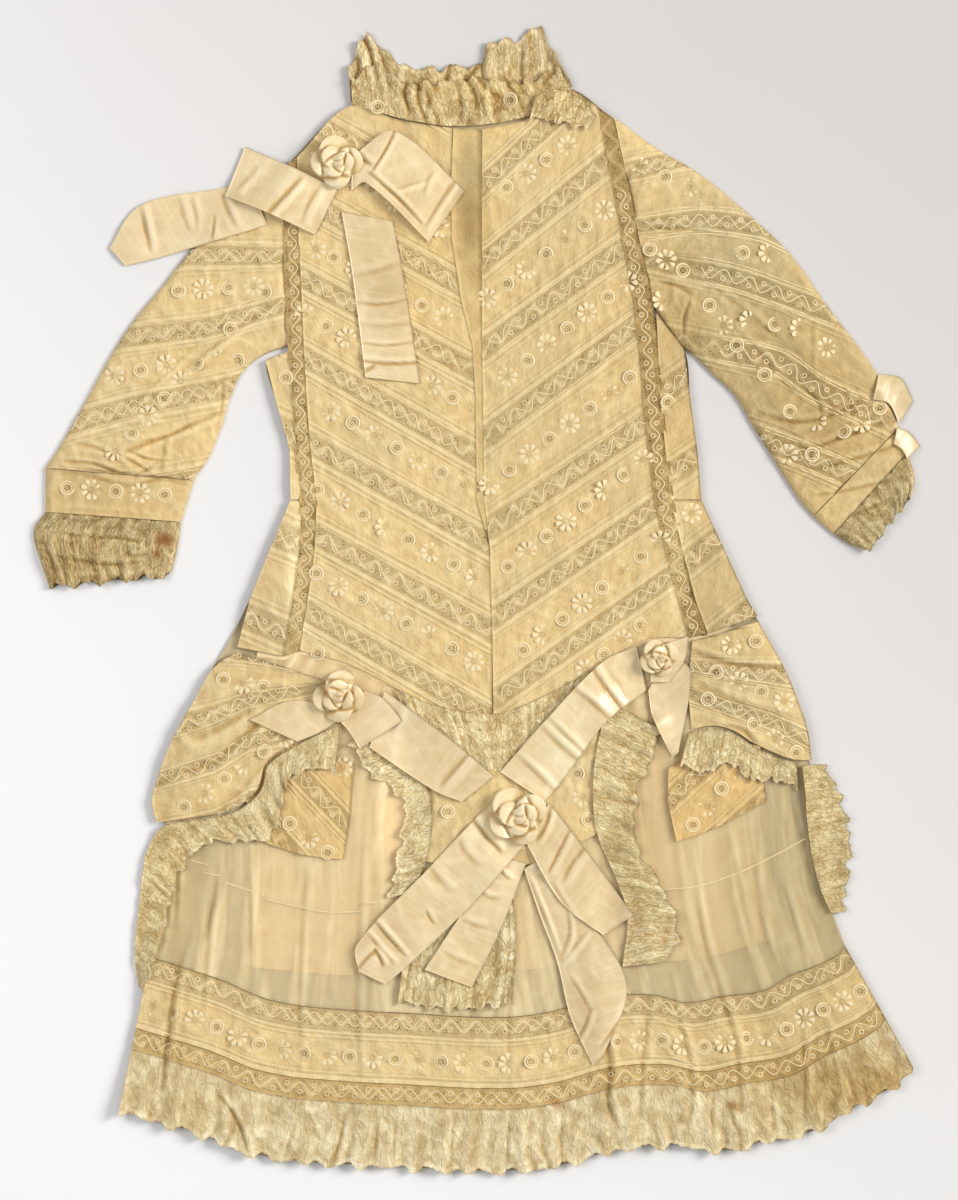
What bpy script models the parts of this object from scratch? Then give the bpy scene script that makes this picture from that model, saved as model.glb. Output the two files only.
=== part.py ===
"""A child's lace dress, laid out flat on its back, front up, neck towards +Y, hem towards -Y.

Every table is in millimetres, x to the right and y towards the neck, as the dress is seen from above.
An edge is a table of points (x, y). Left and right are as seen from above.
"""

import math

import bmesh
import bpy
from mathutils.bvhtree import BVHTree

MM = 0.001
CLOTH = 1.1  # wall of muslin and batiste
LACE = 1.4  # wall of gathered lace, measured upright, so that its slopes stay over 1 mm
SATIN = 1.0  # wall of the ribbon
SEAM = 0.35  # gap between pieces that are sewn edge to edge
REST = 0.35  # gap between a piece and what it lies on
SAMPLE = 3.5  # spacing of the places where a laid piece is held clear of the pile

LINING_LEVEL = CLOTH + REST
FRONT_LEVEL = LINING_LEVEL + CLOTH + REST

COLOURS = {
    "batiste": (0.73, 0.59, 0.34),
    "muslin": (0.64, 0.55, 0.34),
    "lining": (0.78, 0.6, 0.33),
    "lace": (0.6, 0.42, 0.19),
    "satin": (0.78, 0.62, 0.38),
}

# Upright seams of the bodice front, row by row: y, then the x of each seam.
# y, outer and inner edge of the left insertion, both edges of the placket,
# inner and outer edge of the right insertion
BODICE = (
    (271.2, -128.0, -119.4, -17.8, 2.7, 89.1, 98.7),
    (238.2, -126.7, -118.1, -17.1, 2.7, 95.1, 105.3),
    (198.6, -125.0, -116.1, -11.2, 2.7, 102.3, 113.6),
    (168.9, -123.7, -114.8, -3.6, 2.7, 105.6, 116.9),
    (132.6, -122.1, -112.8, -1.3, 3.3, 108.9, 120.2),
    (99.6, -119.4, -110.2, -1.1, 3.7, 112.2, 123.5),
    (66.6, -116.1, -106.2, -0.6, 4.0, 116.2, 127.4),
    (33.6, -117.4, -107.5, 8.0, 8.0, 123.5, 134.7),
    (0.6, -122.1, -112.2, 8.9, 8.9, 132.0, 143.3),
    (-22.5, -126.0, -116.1, 9.6, 9.6, 138.6, 149.2),
)
LEFT_OUT, LEFT_IN, PLACKET_LEFT, PLACKET_RIGHT, RIGHT_IN, RIGHT_OUT = range(1, 7)

# Side edges of the body by the same rows: y, left, right
SIDES = (
    (132.6, -133.3, 140.0),
    (99.6, -124.0, 144.6),
    (66.6, -123.4, 147.2),
    (33.6, -137.2, 162.4),
    (0.6, -150.4, 177.6),
)

# The sleeves, from the armhole down: outer x, outer y, inner x, inner y
SLEEVE_LEFT = (
    (-129.7, 285.7, -125.4, 168.2),
    (-165.0, 254.7, -142.5, 161.6),
    (-190.0, 230.3, -155.1, 151.1),
    (-209.8, 205.2, -163.6, 133.9),
    (-226.3, 185.4, -168.9, 116.1),
    (-241.5, 162.3, -174.9, 100.9),
    (-258.7, 131.3, -180.1, 90.3),
    (-275.8, 101.6, -185.4, 83.7),
    (-285.1, 87.7, -187.4, 79.8),
)
SLEEVE_RIGHT = (
    (89.8, 318.7, 115.2, 195.3),
    (116.9, 298.9, 131.4, 170.2),
    (146.6, 281.1, 141.3, 162.9),
    (176.3, 256.7, 154.5, 149.7),
    (206.0, 228.3, 169.7, 135.2),
    (231.0, 193.3, 180.9, 116.1),
    (252.2, 165.6, 196.1, 91.7),
    (266.7, 142.5, 211.2, 67.9),
    (277.2, 114.1, 221.1, 56.0),
)
CUFF_LEFT = ((-285.1, 87.7, -187.4, 79.8), (-285.1, 58.7, -196.0, 52.1))
CUFF_RIGHT = ((277.2, 114.1, 221.1, 56.0), (283.2, 98.3, 234.3, 44.1))
CUFF_LACE_LEFT = (
    (-285.1, 58.7, -196.0, 52.1),
    (-293.0, 43.5, -198.6, 33.6),
    (-282.4, 9.8, -201.9, 17.7),
)
CUFF_LACE_RIGHT = (
    (283.2, 98.3, 234.3, 44.1),
    (287.8, 81.1, 245.6, 36.9),
    (285.2, 69.2, 256.1, 32.3),
)

# Soft ridges along the sleeves: where across (0 at the outer edge), from and to along, rise, half width
SLEEVE_FOLDS_LEFT = (
    (0.2, 0.0, 0.5, 1.0, 0.09),
    (0.72, 0.1, 0.62, 1.6, 0.08),
    (0.45, 0.55, 1.0, 1.8, 0.1),
    (0.85, 0.62, 1.0, 1.4, 0.08),
)
SLEEVE_FOLDS_RIGHT = (
    (0.3, 0.0, 0.4, 1.2, 0.1),
    (0.7, 0.0, 0.3, 2.0, 0.09),
    (0.35, 0.55, 1.0, 2.2, 0.1),
    (0.75, 0.45, 0.95, 2.4, 0.1),
    (0.55, 0.75, 1.0, 1.6, 0.08),
)

# Lower edge of the skirt, left to right
HEM = (
    (-236.2, -336.0), (-209.8, -343.3), (-183.4, -351.2), (-150.4, -363.7), (-117.4, -369.0),
    (-51.4, -373.0),
    (14.6, -375.6), (54.2, -371.7), (93.8, -361.1), (133.4, -358.5), (159.8, -362.4), (186.2, -356.5),
    (219.2, -349.9), (245.6, -334.7), (265.4, -324.8), (281.9, -313.6), (286.5, -307.0),
)
# Height above the hem of the lines between muslin, insertion, band, insertion and gathered lace
MUSLIN_END = 101.6
BAND_START = 87.8
BAND_END = 54.8
LACE_START = 40.9
HEM_LEAN_LEFT = 0.2  # how far the side edges lean in for each millimetre up from the hem
HEM_LEAN_RIGHT = -0.56
HEM_RISE_RIGHT = 0.78  # the right end of the hem is pulled up, so its bands show shorter

# Upright folds of the skirt: place across the hem (0 left, 1 right), rise, half width, how far up they reach
SKIRT_FOLDS = (
    (0.07, 2.2, 0.022, 0.95),
    (0.145, 1.5, 0.025, 0.7),
    (0.227, 1.2, 0.022, 0.9),
    (0.305, 1.8, 0.022, 0.95),
    (0.41, 0.8, 0.024, 0.5),
    (0.495, 1.2, 0.022, 0.6),
    (0.62, 2.4, 0.026, 0.8),
    (0.707, 1.6, 0.022, 0.9),
    (0.785, 1.7, 0.024, 0.85),
    (0.865, 1.4, 0.022, 0.9),
    (0.945, 1.0, 0.022, 0.6),
)


def smooth_step(t):
    t = min(max(t, 0.0), 1.0)
    return t * t * (3.0 - 2.0 * t)


def mix(a, b, t):
    return a + (b - a) * t


def curve(points, by_index=False):
    """A smooth line through the points, as a function of 0 to 1 along its length or its points."""
    marks = [0.0]
    for a, b in zip(points, points[1:]):
        marks.append(marks[-1] + (1.0 if by_index else math.dist(a, b)))
    last = len(points) - 1

    def slope(i, axis):
        a = max(i - 1, 0)
        b = min(i + 1, last)
        return (points[b][axis] - points[a][axis]) / (marks[b] - marks[a])

    def at(t):
        along = min(max(t, 0.0), 1.0) * marks[-1]
        i = 0
        while i < last - 1 and marks[i + 1] < along:
            i += 1
        span = marks[i + 1] - marks[i]
        f = (along - marks[i]) / span
        h1 = f * f * (3.0 - 2.0 * f)
        h2 = f * (1.0 - f) ** 2 * span
        h3 = f * f * (f - 1.0) * span
        return tuple(
            mix(points[i][axis], points[i + 1][axis], h1) + h2 * slope(i, axis) + h3 * slope(i + 1, axis)
            for axis in range(len(points[0]))
        )

    return at


def between(edge_a, edge_b):
    """Places on a strip: across from edge a to edge b, and along both of them."""
    line_a = curve(edge_a)
    line_b = curve(edge_b)

    def place(u, v):
        a = line_a(v)
        b = line_b(v)
        return mix(a[0], b[0], u), mix(a[1], b[1], u)

    return place


def patch(top, bottom, left, right):
    """Places on a panel with four curved edges, across from left to right and down from top to bottom."""
    edges = [edge if callable(edge) else curve(edge) for edge in (top, bottom, left, right)]

    def place(u, v):
        t, b, lft, rgt = edges[0](u), edges[1](u), edges[2](v), edges[3](v)
        corners = edges[0](0), edges[0](1), edges[1](0), edges[1](1)
        out = []
        for k in (0, 1):
            straight = mix(mix(corners[0][k], corners[1][k], u), mix(corners[2][k], corners[3][k], u), v)
            out.append(mix(t[k], b[k], v) + mix(lft[k], rgt[k], u) - straight)
        return tuple(out)

    return place


def material(name):
    found = bpy.data.materials.get(name)
    if found is None:
        found = bpy.data.materials.new(name)
        found.use_nodes = True
        shader = found.node_tree.nodes["Principled BSDF"]
        shader.inputs["Base Color"].default_value = (*COLOURS[name], 1.0)
        shader.inputs["Roughness"].default_value = 0.35 if name == "satin" else 0.85
    return found


def finish(name, mesh, cloth):
    """Scales the mesh to metres and puts it into the part as one named object."""
    bmesh.ops.recalc_face_normals(mesh, faces=mesh.faces)
    bmesh.ops.scale(mesh, vec=(MM, MM, MM), verts=mesh.verts)
    data = bpy.data.meshes.new(name)
    mesh.to_mesh(data)
    mesh.free()
    data.materials.append(material(cloth))
    made = bpy.data.objects.new(name, data)
    PART.objects.link(made)
    return made


class Pile:
    """What already lies on the surface, so that the next piece can be laid on it."""

    def __init__(self):
        self.layers = []

    def add(self, made):
        bpy.context.view_layer.update()
        mesh = bmesh.new()
        mesh.from_object(made, bpy.context.evaluated_depsgraph_get())
        bmesh.ops.scale(mesh, vec=(1.0 / MM, 1.0 / MM, 1.0 / MM), verts=mesh.verts)
        points = []
        for edge in mesh.edges:
            a, b = edge.verts[0].co, edge.verts[1].co
            steps = max(1, math.ceil(edge.calc_length() / SAMPLE))
            points += [tuple(a.lerp(b, k / steps)) for k in range(steps + 1)]
        box = [pick(p[k] for p in points) for k in (0, 1) for pick in (min, max)]
        self.layers.append((box, BVHTree.FromBMesh(mesh), points))
        mesh.free()

    def near(self, low_x, high_x, low_y, high_y):
        """The layers under a rectangle."""
        return [
            layer
            for layer in self.layers
            if layer[0][0] < high_x and layer[0][1] > low_x and layer[0][2] < high_y and layer[0][3] > low_y
        ]

    def top(self, x, y):
        """The highest point of the pile at a place, or 0 on the bare surface."""
        best = 0.0
        for _, tree, _ in self.near(x, x, y, y):
            hit = tree.ray_cast((x, y, 200.0), (0.0, 0.0, -1.0))[0]
            if hit is not None:
                best = max(best, hit.z)
        return best

    def mean(self, x, y, reach):
        """The mean height of the pile round a place."""
        spots = [(x, y)]
        for ring, count in ((0.5, 5), (1.0, 8)):
            for k in range(count):
                turn = 2.0 * math.pi * k / count
                spots.append((x + ring * reach * math.cos(turn), y + ring * reach * math.sin(turn)))
        return sum(self.top(*spot) for spot in spots) / len(spots)


def shares_in(corners, x, y):
    """The shares of a triangle's corners at a place, or None outside it."""
    (x1, y1, _), (x2, y2, _), (x3, y3, _) = corners
    area = (y2 - y3) * (x1 - x3) + (x3 - x2) * (y1 - y3)
    if abs(area) < 1e-6:
        return None
    a = ((y2 - y3) * (x - x3) + (x3 - x2) * (y - y3)) / area
    b = ((y3 - y1) * (x - x3) + (x1 - x3) * (y - y3)) / area
    c = 1.0 - a - b
    return (a, b, c) if min(a, b, c) > -0.02 else None


def lay(mesh, folds, reach):
    """Lays a sheet on the pile: near its mean height, then raised wherever it would touch something."""
    for vert in mesh.verts:
        vert.co.z = PILE.mean(vert.co.x, vert.co.y, reach) + REST + folds[vert]
    needs = []
    for face in mesh.faces:
        corners = [v.co for v in face.verts]
        xs = [c.x for c in corners]
        ys = [c.y for c in corners]
        steps = max(2, math.ceil(max(e.calc_length() for e in face.edges) / SAMPLE))
        for i in range(steps + 1):
            for j in range(steps + 1 - i):
                shares = (i / steps, j / steps, (steps - i - j) / steps)
                x = sum(s * c for s, c in zip(shares, xs))
                y = sum(s * c for s, c in zip(shares, ys))
                needs.append((face.verts, shares, PILE.top(x, y) + REST))
        for _, _, points in PILE.near(min(xs), max(xs), min(ys), max(ys)):
            for x, y, z in points:
                if min(xs) <= x <= max(xs) and min(ys) <= y <= max(ys):
                    shares = shares_in(corners, x, y)
                    if shares:
                        needs.append((face.verts, shares, z + REST))
    for _ in range(60):
        worst = 0.0
        for verts, shares, least in needs:
            short = least - sum(s * v.co.z for s, v in zip(shares, verts))
            if short > 0.0:
                worst = max(worst, short)
                total = sum(s * s for s in shares)
                for share, vert in zip(shares, verts):
                    vert.co.z += short * max(share, 0.0) / total
        if worst < 0.02:
            break


def flat(u, v):
    return 0.0


def sheet(name, cells, place, level=None, lift=flat, wall=CLOTH, cloth="batiste", reach=5.0):
    """A panel of cloth: a mapped grid, at its level or laid on the pile, given its wall upwards."""
    mesh = bmesh.new()
    bmesh.ops.create_grid(mesh, x_segments=cells[0], y_segments=cells[1], size=0.5)
    folds = {}
    for vert in mesh.verts:
        u = vert.co.x + 0.5
        v = 0.5 - vert.co.y
        folds[vert] = lift(u, v)
        vert.co.x, vert.co.y = place(u, v)
        vert.co.z = (level or 0.0) + folds[vert]
    bmesh.ops.triangulate(mesh, faces=mesh.faces)
    if level is None:
        lay(mesh, folds, reach)
    raised = bmesh.ops.extrude_face_region(mesh, geom=mesh.faces[:])["geom"]
    top = [item for item in raised if isinstance(item, bmesh.types.BMVert)]
    bmesh.ops.translate(mesh, vec=(0.0, 0.0, wall), verts=top)
    made = finish(name, mesh, cloth)
    PILE.add(made)
    return made


def ridges(folds, t, v):
    """Height of the soft ridges at a place across and along."""
    total = 0.0
    for centre, start, end, rise, width in folds:
        swell = smooth_step((v - start) / 0.12 + 0.5) * smooth_step((end - v) / 0.12 + 0.5)
        total += rise * swell * math.exp(-(((t - centre) / width) ** 2))
    return total


def gathers(count, depth, start=0.15, skew=0.35):
    """Waves of gathered lace, uneven in depth, growing from the seam to the free edge."""

    def lift(u, v):
        wave = 0.5 + 0.5 * math.cos(2.0 * math.pi * count * u)
        uneven = 0.75 + 0.25 * math.sin(7.3 * u * count * skew + 1.0)
        return depth * wave * uneven * (start + (1.0 - start) * smooth_step(v))

    return lift


def scalloped(place, count, depth):
    """The same places, with a wavy free edge that follows the gathers."""

    def out(u, v):
        x, y = place(u, v)
        if v < 0.5:
            return x, y
        x0, y0 = place(u, 0.0)
        long = max(math.dist((x, y), (x0, y0)), 1.0)
        step = depth * math.cos(2.0 * math.pi * count * u) * (v - 0.5) * 2.0
        return x + (x - x0) / long * step, y + (y - y0) / long * step

    return out


def panel_rows(name, rows, cells, lift, cloth="batiste", height=FRONT_LEVEL):
    """A panel from level rows of points: each row is a table of points (x, y), left to right."""
    lines = [curve(row) for row in rows]
    steps = len(rows) - 1

    def place(u, v):
        i = min(round(v * steps), steps)
        return lines[i](u)

    return sheet(name, (cells, steps), place, height, lift, cloth=cloth)


def bodice_rows(left, right, first, last):
    """The level rows of a bodice panel between two seams, half a seam gap inside each."""
    return [
        ((row[left] + SEAM / 2, row[0]), (row[right] - SEAM / 2, row[0]))
        for row in BODICE[first:last]
    ]


def body_puff(name):
    """The slight swell of a bodice panel, with a few soft wrinkles."""
    turn = sum(ord(letter) for letter in name) % 7

    def lift(u, v):
        swell = 0.9 * math.sin(math.pi * min(max(v, 0.0), 1.0)) * (0.4 + 0.6 * math.sin(math.pi * u))
        wrinkle = 0.35 * (1.0 + math.sin(11.0 * v + 5.0 * u + turn))
        return swell + wrinkle * math.sin(math.pi * v) * math.sin(math.pi * u)

    return lift


def back_bodice():
    top = (
        (-127.7, 285.7), (-84.4, 326.6), (-54.7, 321.3), (1.4, 318.7), (54.2, 327.9), (62.7, 337.2),
        (88.8, 318.0),
    )
    bottom = ((-123.4, 66.8), (14.6, 66.8), (147.2, 66.8))
    left = (
        (-127.7, 285.7), (-123.7, 165.9), (-139.2, 158.3), (-133.3, 132.6), (-126.7, 112.8),
        (-123.4, 93.0), (-123.4, 66.8),
    )
    right = (
        (88.8, 318.0), (113.9, 193.3), (136.0, 166.2), (140.0, 132.6), (142.6, 112.8),
        (145.2, 93.0), (147.2, 66.8),
    )
    sheet("back_bodice", (6, 8), patch(top, bottom, left, right), 0.0)


def back_skirt():
    top = ((-123.4, 66.2), (14.6, 66.2), (147.2, 66.2))
    bottom = hem_line_at(LACE_START + 3 * SEAM)
    left = (
        (-123.4, 66.2), (-137.2, 33.6), (-157.0, -12.6), (-186.7, -65.4), (-204.6, -105.0),
        (-205.9, -157.8),
        (-209.8, -197.4), (-215.1, -233.1), bottom(0.0),
    )
    right = (
        (147.2, 66.2), (162.4, 33.6), (184.2, -12.6), (210.6, -65.4), (218.5, -105.0), (220.5, -144.6),
        (224.4, -177.6), (242.9, -229.8), bottom(1.0),
    )
    sheet("back_skirt", (16, 8), patch(top, bottom, left, right), 0.0, cloth="muslin")


def hem_point(u, up):
    """A place on the skirt by its share across the hem and its height above the hem's edge."""
    x, y = HEM_LINE(u)
    lean = HEM_LEAN_LEFT * (1.0 - u) ** 3 + HEM_LEAN_RIGHT * u**3
    height = up * (1.0 - (1.0 - HEM_RISE_RIGHT) * u**6)
    return x + lean * height, y + height


def hem_line_at(up):
    """The line across the skirt at one height above the hem's edge, as a function of 0 to 1."""
    return lambda u: hem_point(u, up)


def skirt_fold(u, up):
    """Height of the skirt's folds, by the share across and the height above the hem."""
    total = 0.0
    for centre, rise, width, reach in SKIRT_FOLDS:
        fade = smooth_step((reach * SKIRT_LENGTH - up) / 70.0)
        total += rise * fade * math.exp(-(((u - centre) / width) ** 2))
    return total


def hem_strip(name, rows, high, low, cloth, cells=44):
    """A band of the hem between two heights above the hem's edge."""

    def place(u, v):
        return hem_point(u, mix(high - SEAM / 2, low + SEAM / 2, v))

    def lift(u, v):
        return skirt_fold(u, mix(high, low, v))

    return sheet(name, (cells, rows), place, FRONT_LEVEL, lift, cloth=cloth)


def hem_laces():
    def place(u, v):
        return hem_point(u, mix(LACE_START - SEAM / 2, 0.0, v))

    waves_back = gathers(16, 1.1, start=0.0)
    sheet("hem_lace_back", (32, 2), place, 0.0, waves_back, wall=LACE, cloth="lace")
    waves = gathers(30, 2.6, start=0.1)

    def lift(u, v):
        return skirt_fold(u, mix(LACE_START, 0.0, v)) + waves(u, v)

    edge = scalloped(place, 30, 1.6)
    sheet("hem_lace_front", (60, 3), edge, FRONT_LEVEL, lift, wall=LACE, cloth="lace")


def lining_front():
    top = ((-117.4, 280.4), (-83.1, 318.7), (-51.4, 312.1), (1.4, 308.1), (54.2, 322.7), (77.9, 313.4))
    bottom = (
        (-149.1, -241.6), (-84.4, -246.9), (21.2, -243.6), (107.0, -238.3), (146.6, -235.7),
        (196.1, -222.5),
    )
    left = (
        (-117.4, 280.4), (-115.5, 168.9), (-117.4, 66.6), (-139.9, 0.6), (-147.8, -65.4),
        (-149.1, -241.6),
    )
    right = (
        (77.9, 313.4), (103.0, 198.6), (128.1, 119.4), (140.0, 60.0), (165.0, 0.6), (178.2, -65.4),
        (182.9, -138.0), (196.1, -222.5),
    )
    sheet("lining_front", (8, 12), patch(top, bottom, left, right), LINING_LEVEL, cloth="lining")


def bodice_fronts():
    top_left = ((-119.2, 292.3), (-84.4, 326.0), (-51.4, 316.7), (-16.7, 311.4))
    bottom_left = ((-117.2, -32.4), (-81.1, -43.0), (-25.0, -72.0), (9.3, -76.6))
    rows = [top_left] + bodice_rows(LEFT_IN, PLACKET_LEFT, 0, 10) + [bottom_left]
    panel_rows("front_left", rows, 7, body_puff("front_left"))
    top_right = ((2.9, 310.8), (34.4, 318.0), (61.4, 336.5), (79.0, 320.0))
    bottom_right = ((10.1, -76.6), (54.2, -58.8), (107.0, -26.5), (140.0, -23.8))
    rows = [top_right] + bodice_rows(PLACKET_RIGHT, RIGHT_IN, 0, 10) + [bottom_right]
    panel_rows("front_right", rows, 7, body_puff("front_right"))


def placket():
    top = ((-16.3, 311.4), (2.5, 310.8))
    bottom = ((4.8, 46.8), (6.1, 46.8))
    rows = [top] + bodice_rows(PLACKET_LEFT, PLACKET_RIGHT, 0, 7) + [bottom]
    panel_rows("placket", rows, 2, lambda u, v: 0.5 * math.sin(math.pi * v))


def insertions():
    top = ((-128.2, 286.4), (-119.6, 292.0))
    bottom = ((-127.8, -36.4), (-117.6, -33.1))
    rows = [top] + bodice_rows(LEFT_OUT, LEFT_IN, 0, 10) + [bottom]
    panel_rows("insertion_left", rows, 1, flat, cloth="lace")
    top = ((79.4, 319.7), (89.0, 318.0))
    bottom = ((140.3, -23.8), (151.0, -21.9))
    rows = [top] + bodice_rows(RIGHT_IN, RIGHT_OUT, 0, 10) + [bottom]
    panel_rows("insertion_right", rows, 1, flat, cloth="lace")


def side_row(k, side, seam):
    """One level row of a side panel, from the body's edge to the insertion, left to right."""
    y, left, right = SIDES[k]
    upright = BODICE[k + 4][seam]
    ends = (left, upright - SEAM / 2) if side == 1 else (upright + SEAM / 2, right)
    return (ends[0], y), (ends[1], y)


def lowered(row, step):
    return [(x, y + step) for x, y in row]


def side_panels():
    for side, seam, word in ((1, LEFT_OUT, "left"), (2, RIGHT_OUT, "right")):
        if side == 1:
            top = ((-139.9, 158.3), (-123.8, 164.9))
            bottom = ((-158.4, -30.4), (-128.2, -36.4))
        else:
            top = ((117.5, 190.0), (136.0, 165.6))
            bottom = ((151.4, -21.5), (184.2, -10.0))
        waist = side_row(2, side, seam)
        rows = [top, side_row(0, side, seam), side_row(1, side, seam), lowered(waist, SEAM / 2)]
        panel_rows("side_" + word, rows, 2, flat)
        rows = [lowered(waist, -SEAM / 2), side_row(3, side, seam), side_row(4, side, seam), bottom]
        panel_rows("hip_" + word, rows, 3, lambda u, v: 0.8 * math.sin(math.pi * v))


def tube(name, table, rings, shares_under, shares_over, height, cloth, wall=CLOTH, gap=0.0):
    """A flattened tube, open at both ends: its under side flat on the surface, its upper side raised."""
    length = math.dist(table[0][:2], table[-1][:2])
    outer = curve([row[:2] for row in table], by_index=True)
    inner = curve([row[2:] for row in table], by_index=True)
    loop = [(0.0, 0)] + [(t, -1) for t in shares_under] + [(1.0, 0)] + [(t, 1) for t in reversed(shares_over)]
    count = len(loop)
    mesh = bmesh.new()
    bmesh.ops.create_grid(mesh, x_segments=count, y_segments=2 * rings + 2, size=0.5)
    for vert in mesh.verts:
        k = round((vert.co.x + 0.5) * count) % count
        j = round((0.5 - vert.co.y) * (2 * rings + 2)) % (2 * rings + 2)
        inside = j > rings
        v = (2 * rings + 1 - j if inside else j) / rings
        t, side = loop[k]
        a = outer(mix(gap / length, 1.0, v))
        b = inner(mix(gap / length, 1.0, v))
        wide = math.dist(a, b)
        inset = wall / wide if inside else 0.0
        t = mix(inset, 1.0 - inset, t)
        over = height(t, v)
        low = wall if inside else 0.0
        high = over - wall if inside else over
        vert.co.x = mix(a[0], b[0], t)
        vert.co.y = mix(a[1], b[1], t)
        vert.co.z = (low, wall + 0.6, high)[side + 1]
    bmesh.ops.remove_doubles(mesh, verts=mesh.verts, dist=0.01)
    made = finish(name, mesh, cloth)
    PILE.add(made)
    return made


SLEEVE_SHARES = (0.03, 0.25, 0.5, 0.75, 0.97)
SLEEVE_SHARES_OVER = (0.03, 0.13, 0.24, 0.36, 0.48, 0.6, 0.72, 0.85, 0.97)


def sleeves():
    for word, table, folds in (
        ("left", SLEEVE_LEFT, SLEEVE_FOLDS_LEFT),
        ("right", SLEEVE_RIGHT, SLEEVE_FOLDS_RIGHT),
    ):

        def height(t, v, folds=folds):
            dome = 1.0 * 4.0 * t * (1.0 - t)
            calm = math.sin(math.pi * min(v, 1.0)) ** 0.5 if v < 1.0 else 0.0
            return 3.5 + dome + ridges(folds, t, v) * calm

        tube("sleeve_" + word, table, 11, SLEEVE_SHARES, SLEEVE_SHARES_OVER, height, "batiste")


def cuff_height(t, v):
    return 3.5 + 4.0 * t * (1.0 - t)


def cuffs():
    shares = (0.03, 0.25, 0.5, 0.75, 0.97)
    for word, table in (("left", CUFF_LEFT), ("right", CUFF_RIGHT)):
        tube("cuff_" + word, table, 2, shares, shares, cuff_height, "batiste", gap=SEAM)
    count = 10
    over = [0.03] + [(k + 0.5) / (2 * count) for k in range(1, 2 * count - 1)] + [0.97]

    def height(t, v):
        wave = 0.5 + 0.5 * math.cos(math.pi * (t * 2 * count - 0.5))
        return 4.0 + 2.0 * wave * smooth_step(v + 0.2)

    for word, table in (("left", CUFF_LACE_LEFT), ("right", CUFF_LACE_RIGHT)):
        tube("cuff_lace_" + word, table, 3, shares, over, height, "lace", wall=1.2, gap=SEAM)


def skirt_muslin():
    top = (
        (-157.7, -33.1), (-128.0, -39.0), (-117.4, -35.1), (-81.1, -45.0), (-25.0, -74.0), (11.9, -79.3),
        (54.2, -61.5), (107.0, -29.1), (140.0, -26.2), (184.2, -12.3),
    )
    bottom = hem_line_at(MUSLIN_END + SEAM / 2)
    left = (
        (-157.7, -33.1), (-186.7, -65.4), (-201.3, -95.1), (-205.9, -124.8), (-204.6, -161.1),
        (-209.8, -197.4), bottom(0.0),
    )
    right = (
        (184.2, -12.3), (200.7, -42.3), (210.6, -65.4), (216.5, -95.1), (220.5, -131.4),
        (224.4, -177.6), bottom(1.0),
    )

    def lift(u, v):
        return skirt_fold(u, mix(SKIRT_LENGTH, MUSLIN_END, v))

    place = patch(top, bottom, left, right)
    sheet("skirt_muslin", (44, 7), place, FRONT_LEVEL, lift, cloth="muslin")


def yoke_patches():
    top = ((-157.0, -114.9), (-124.0, -93.1), (-81.8, -107.7))
    bottom = ((-147.1, -156.5), (-117.4, -166.4), (-88.4, -170.4))
    left = ((-157.0, -114.9), (-151.8, -134.7), (-147.1, -156.5))
    right = ((-81.8, -107.7), (-83.8, -138.0), (-88.4, -170.4))
    sheet("yoke_left", (6, 4), patch(top, bottom, left, right), None)
    top = ((125.4, -110.3), (153.2, -91.8), (186.2, -95.1))
    bottom = ((130.7, -158.5), (155.1, -149.9), (190.1, -131.4))
    left = ((125.4, -110.3), (125.4, -131.4), (130.7, -158.5))
    right = ((186.2, -95.1), (187.5, -111.6), (190.1, -131.4))
    sheet("yoke_right", (6, 4), patch(top, bottom, left, right), None)


def drape_folds(table, spread=1.0):
    """Folds that fan out across a drape: start and end share down its edges, rise, half width."""

    def lift(u, v):
        total = 0.0
        for near, far, rise, width in table:
            centre = mix(near, far, u)
            total += rise * smooth_step(u * 2.2 * spread) * math.exp(-(((v - centre) / width) ** 2))
        return total

    return lift


def drapes():
    top = ((-96.3, -54.9), (-115.5, -47.6), (-137.2, -40.3), (-159.0, -33.7))
    bottom = (
        (-91.7, -79.9), (-116.8, -91.2), (-138.6, -105.7), (-145.2, -124.2), (-162.3, -137.4),
        (-189.4, -142.6), (-211.8, -145.9),
    )
    hip = ((-96.3, -54.9), (-91.7, -79.9))
    side = (
        (-159.0, -33.7), (-173.5, -43.6), (-186.7, -65.4), (-201.3, -91.8), (-209.2, -111.6),
        (-214.5, -131.4), (-211.8, -145.9),
    )
    folds = (
        (0.15, 0.2, 1.6, 0.07), (0.4, 0.42, 2.2, 0.08), (0.62, 0.66, 1.8, 0.07),
        (0.95, 0.92, 2.4, 0.08),
    )
    sheet("drape_left", (11, 12), patch(top, bottom, hip, side), None, drape_folds(folds))
    top = ((141.3, -26.5), (159.8, -21.9), (184.2, -13.0))
    bottom = (
        (140.6, -84.6), (155.1, -81.9), (168.3, -85.2), (182.2, -93.8), (206.0, -103.7),
        (219.8, -105.0),
    )
    hip = ((141.3, -26.5), (138.6, -55.5), (140.6, -84.6))
    side = ((184.2, -13.0), (200.7, -42.3), (210.6, -65.4), (217.2, -85.2), (219.8, -105.0))
    folds = (
        (0.1, 0.3, 2.0, 0.07), (0.35, 0.52, 1.5, 0.07), (0.6, 0.72, 1.6, 0.07),
        (0.95, 0.93, 2.4, 0.08),
    )
    sheet("drape_right", (10, 11), patch(top, bottom, hip, side), None, drape_folds(folds))


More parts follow.
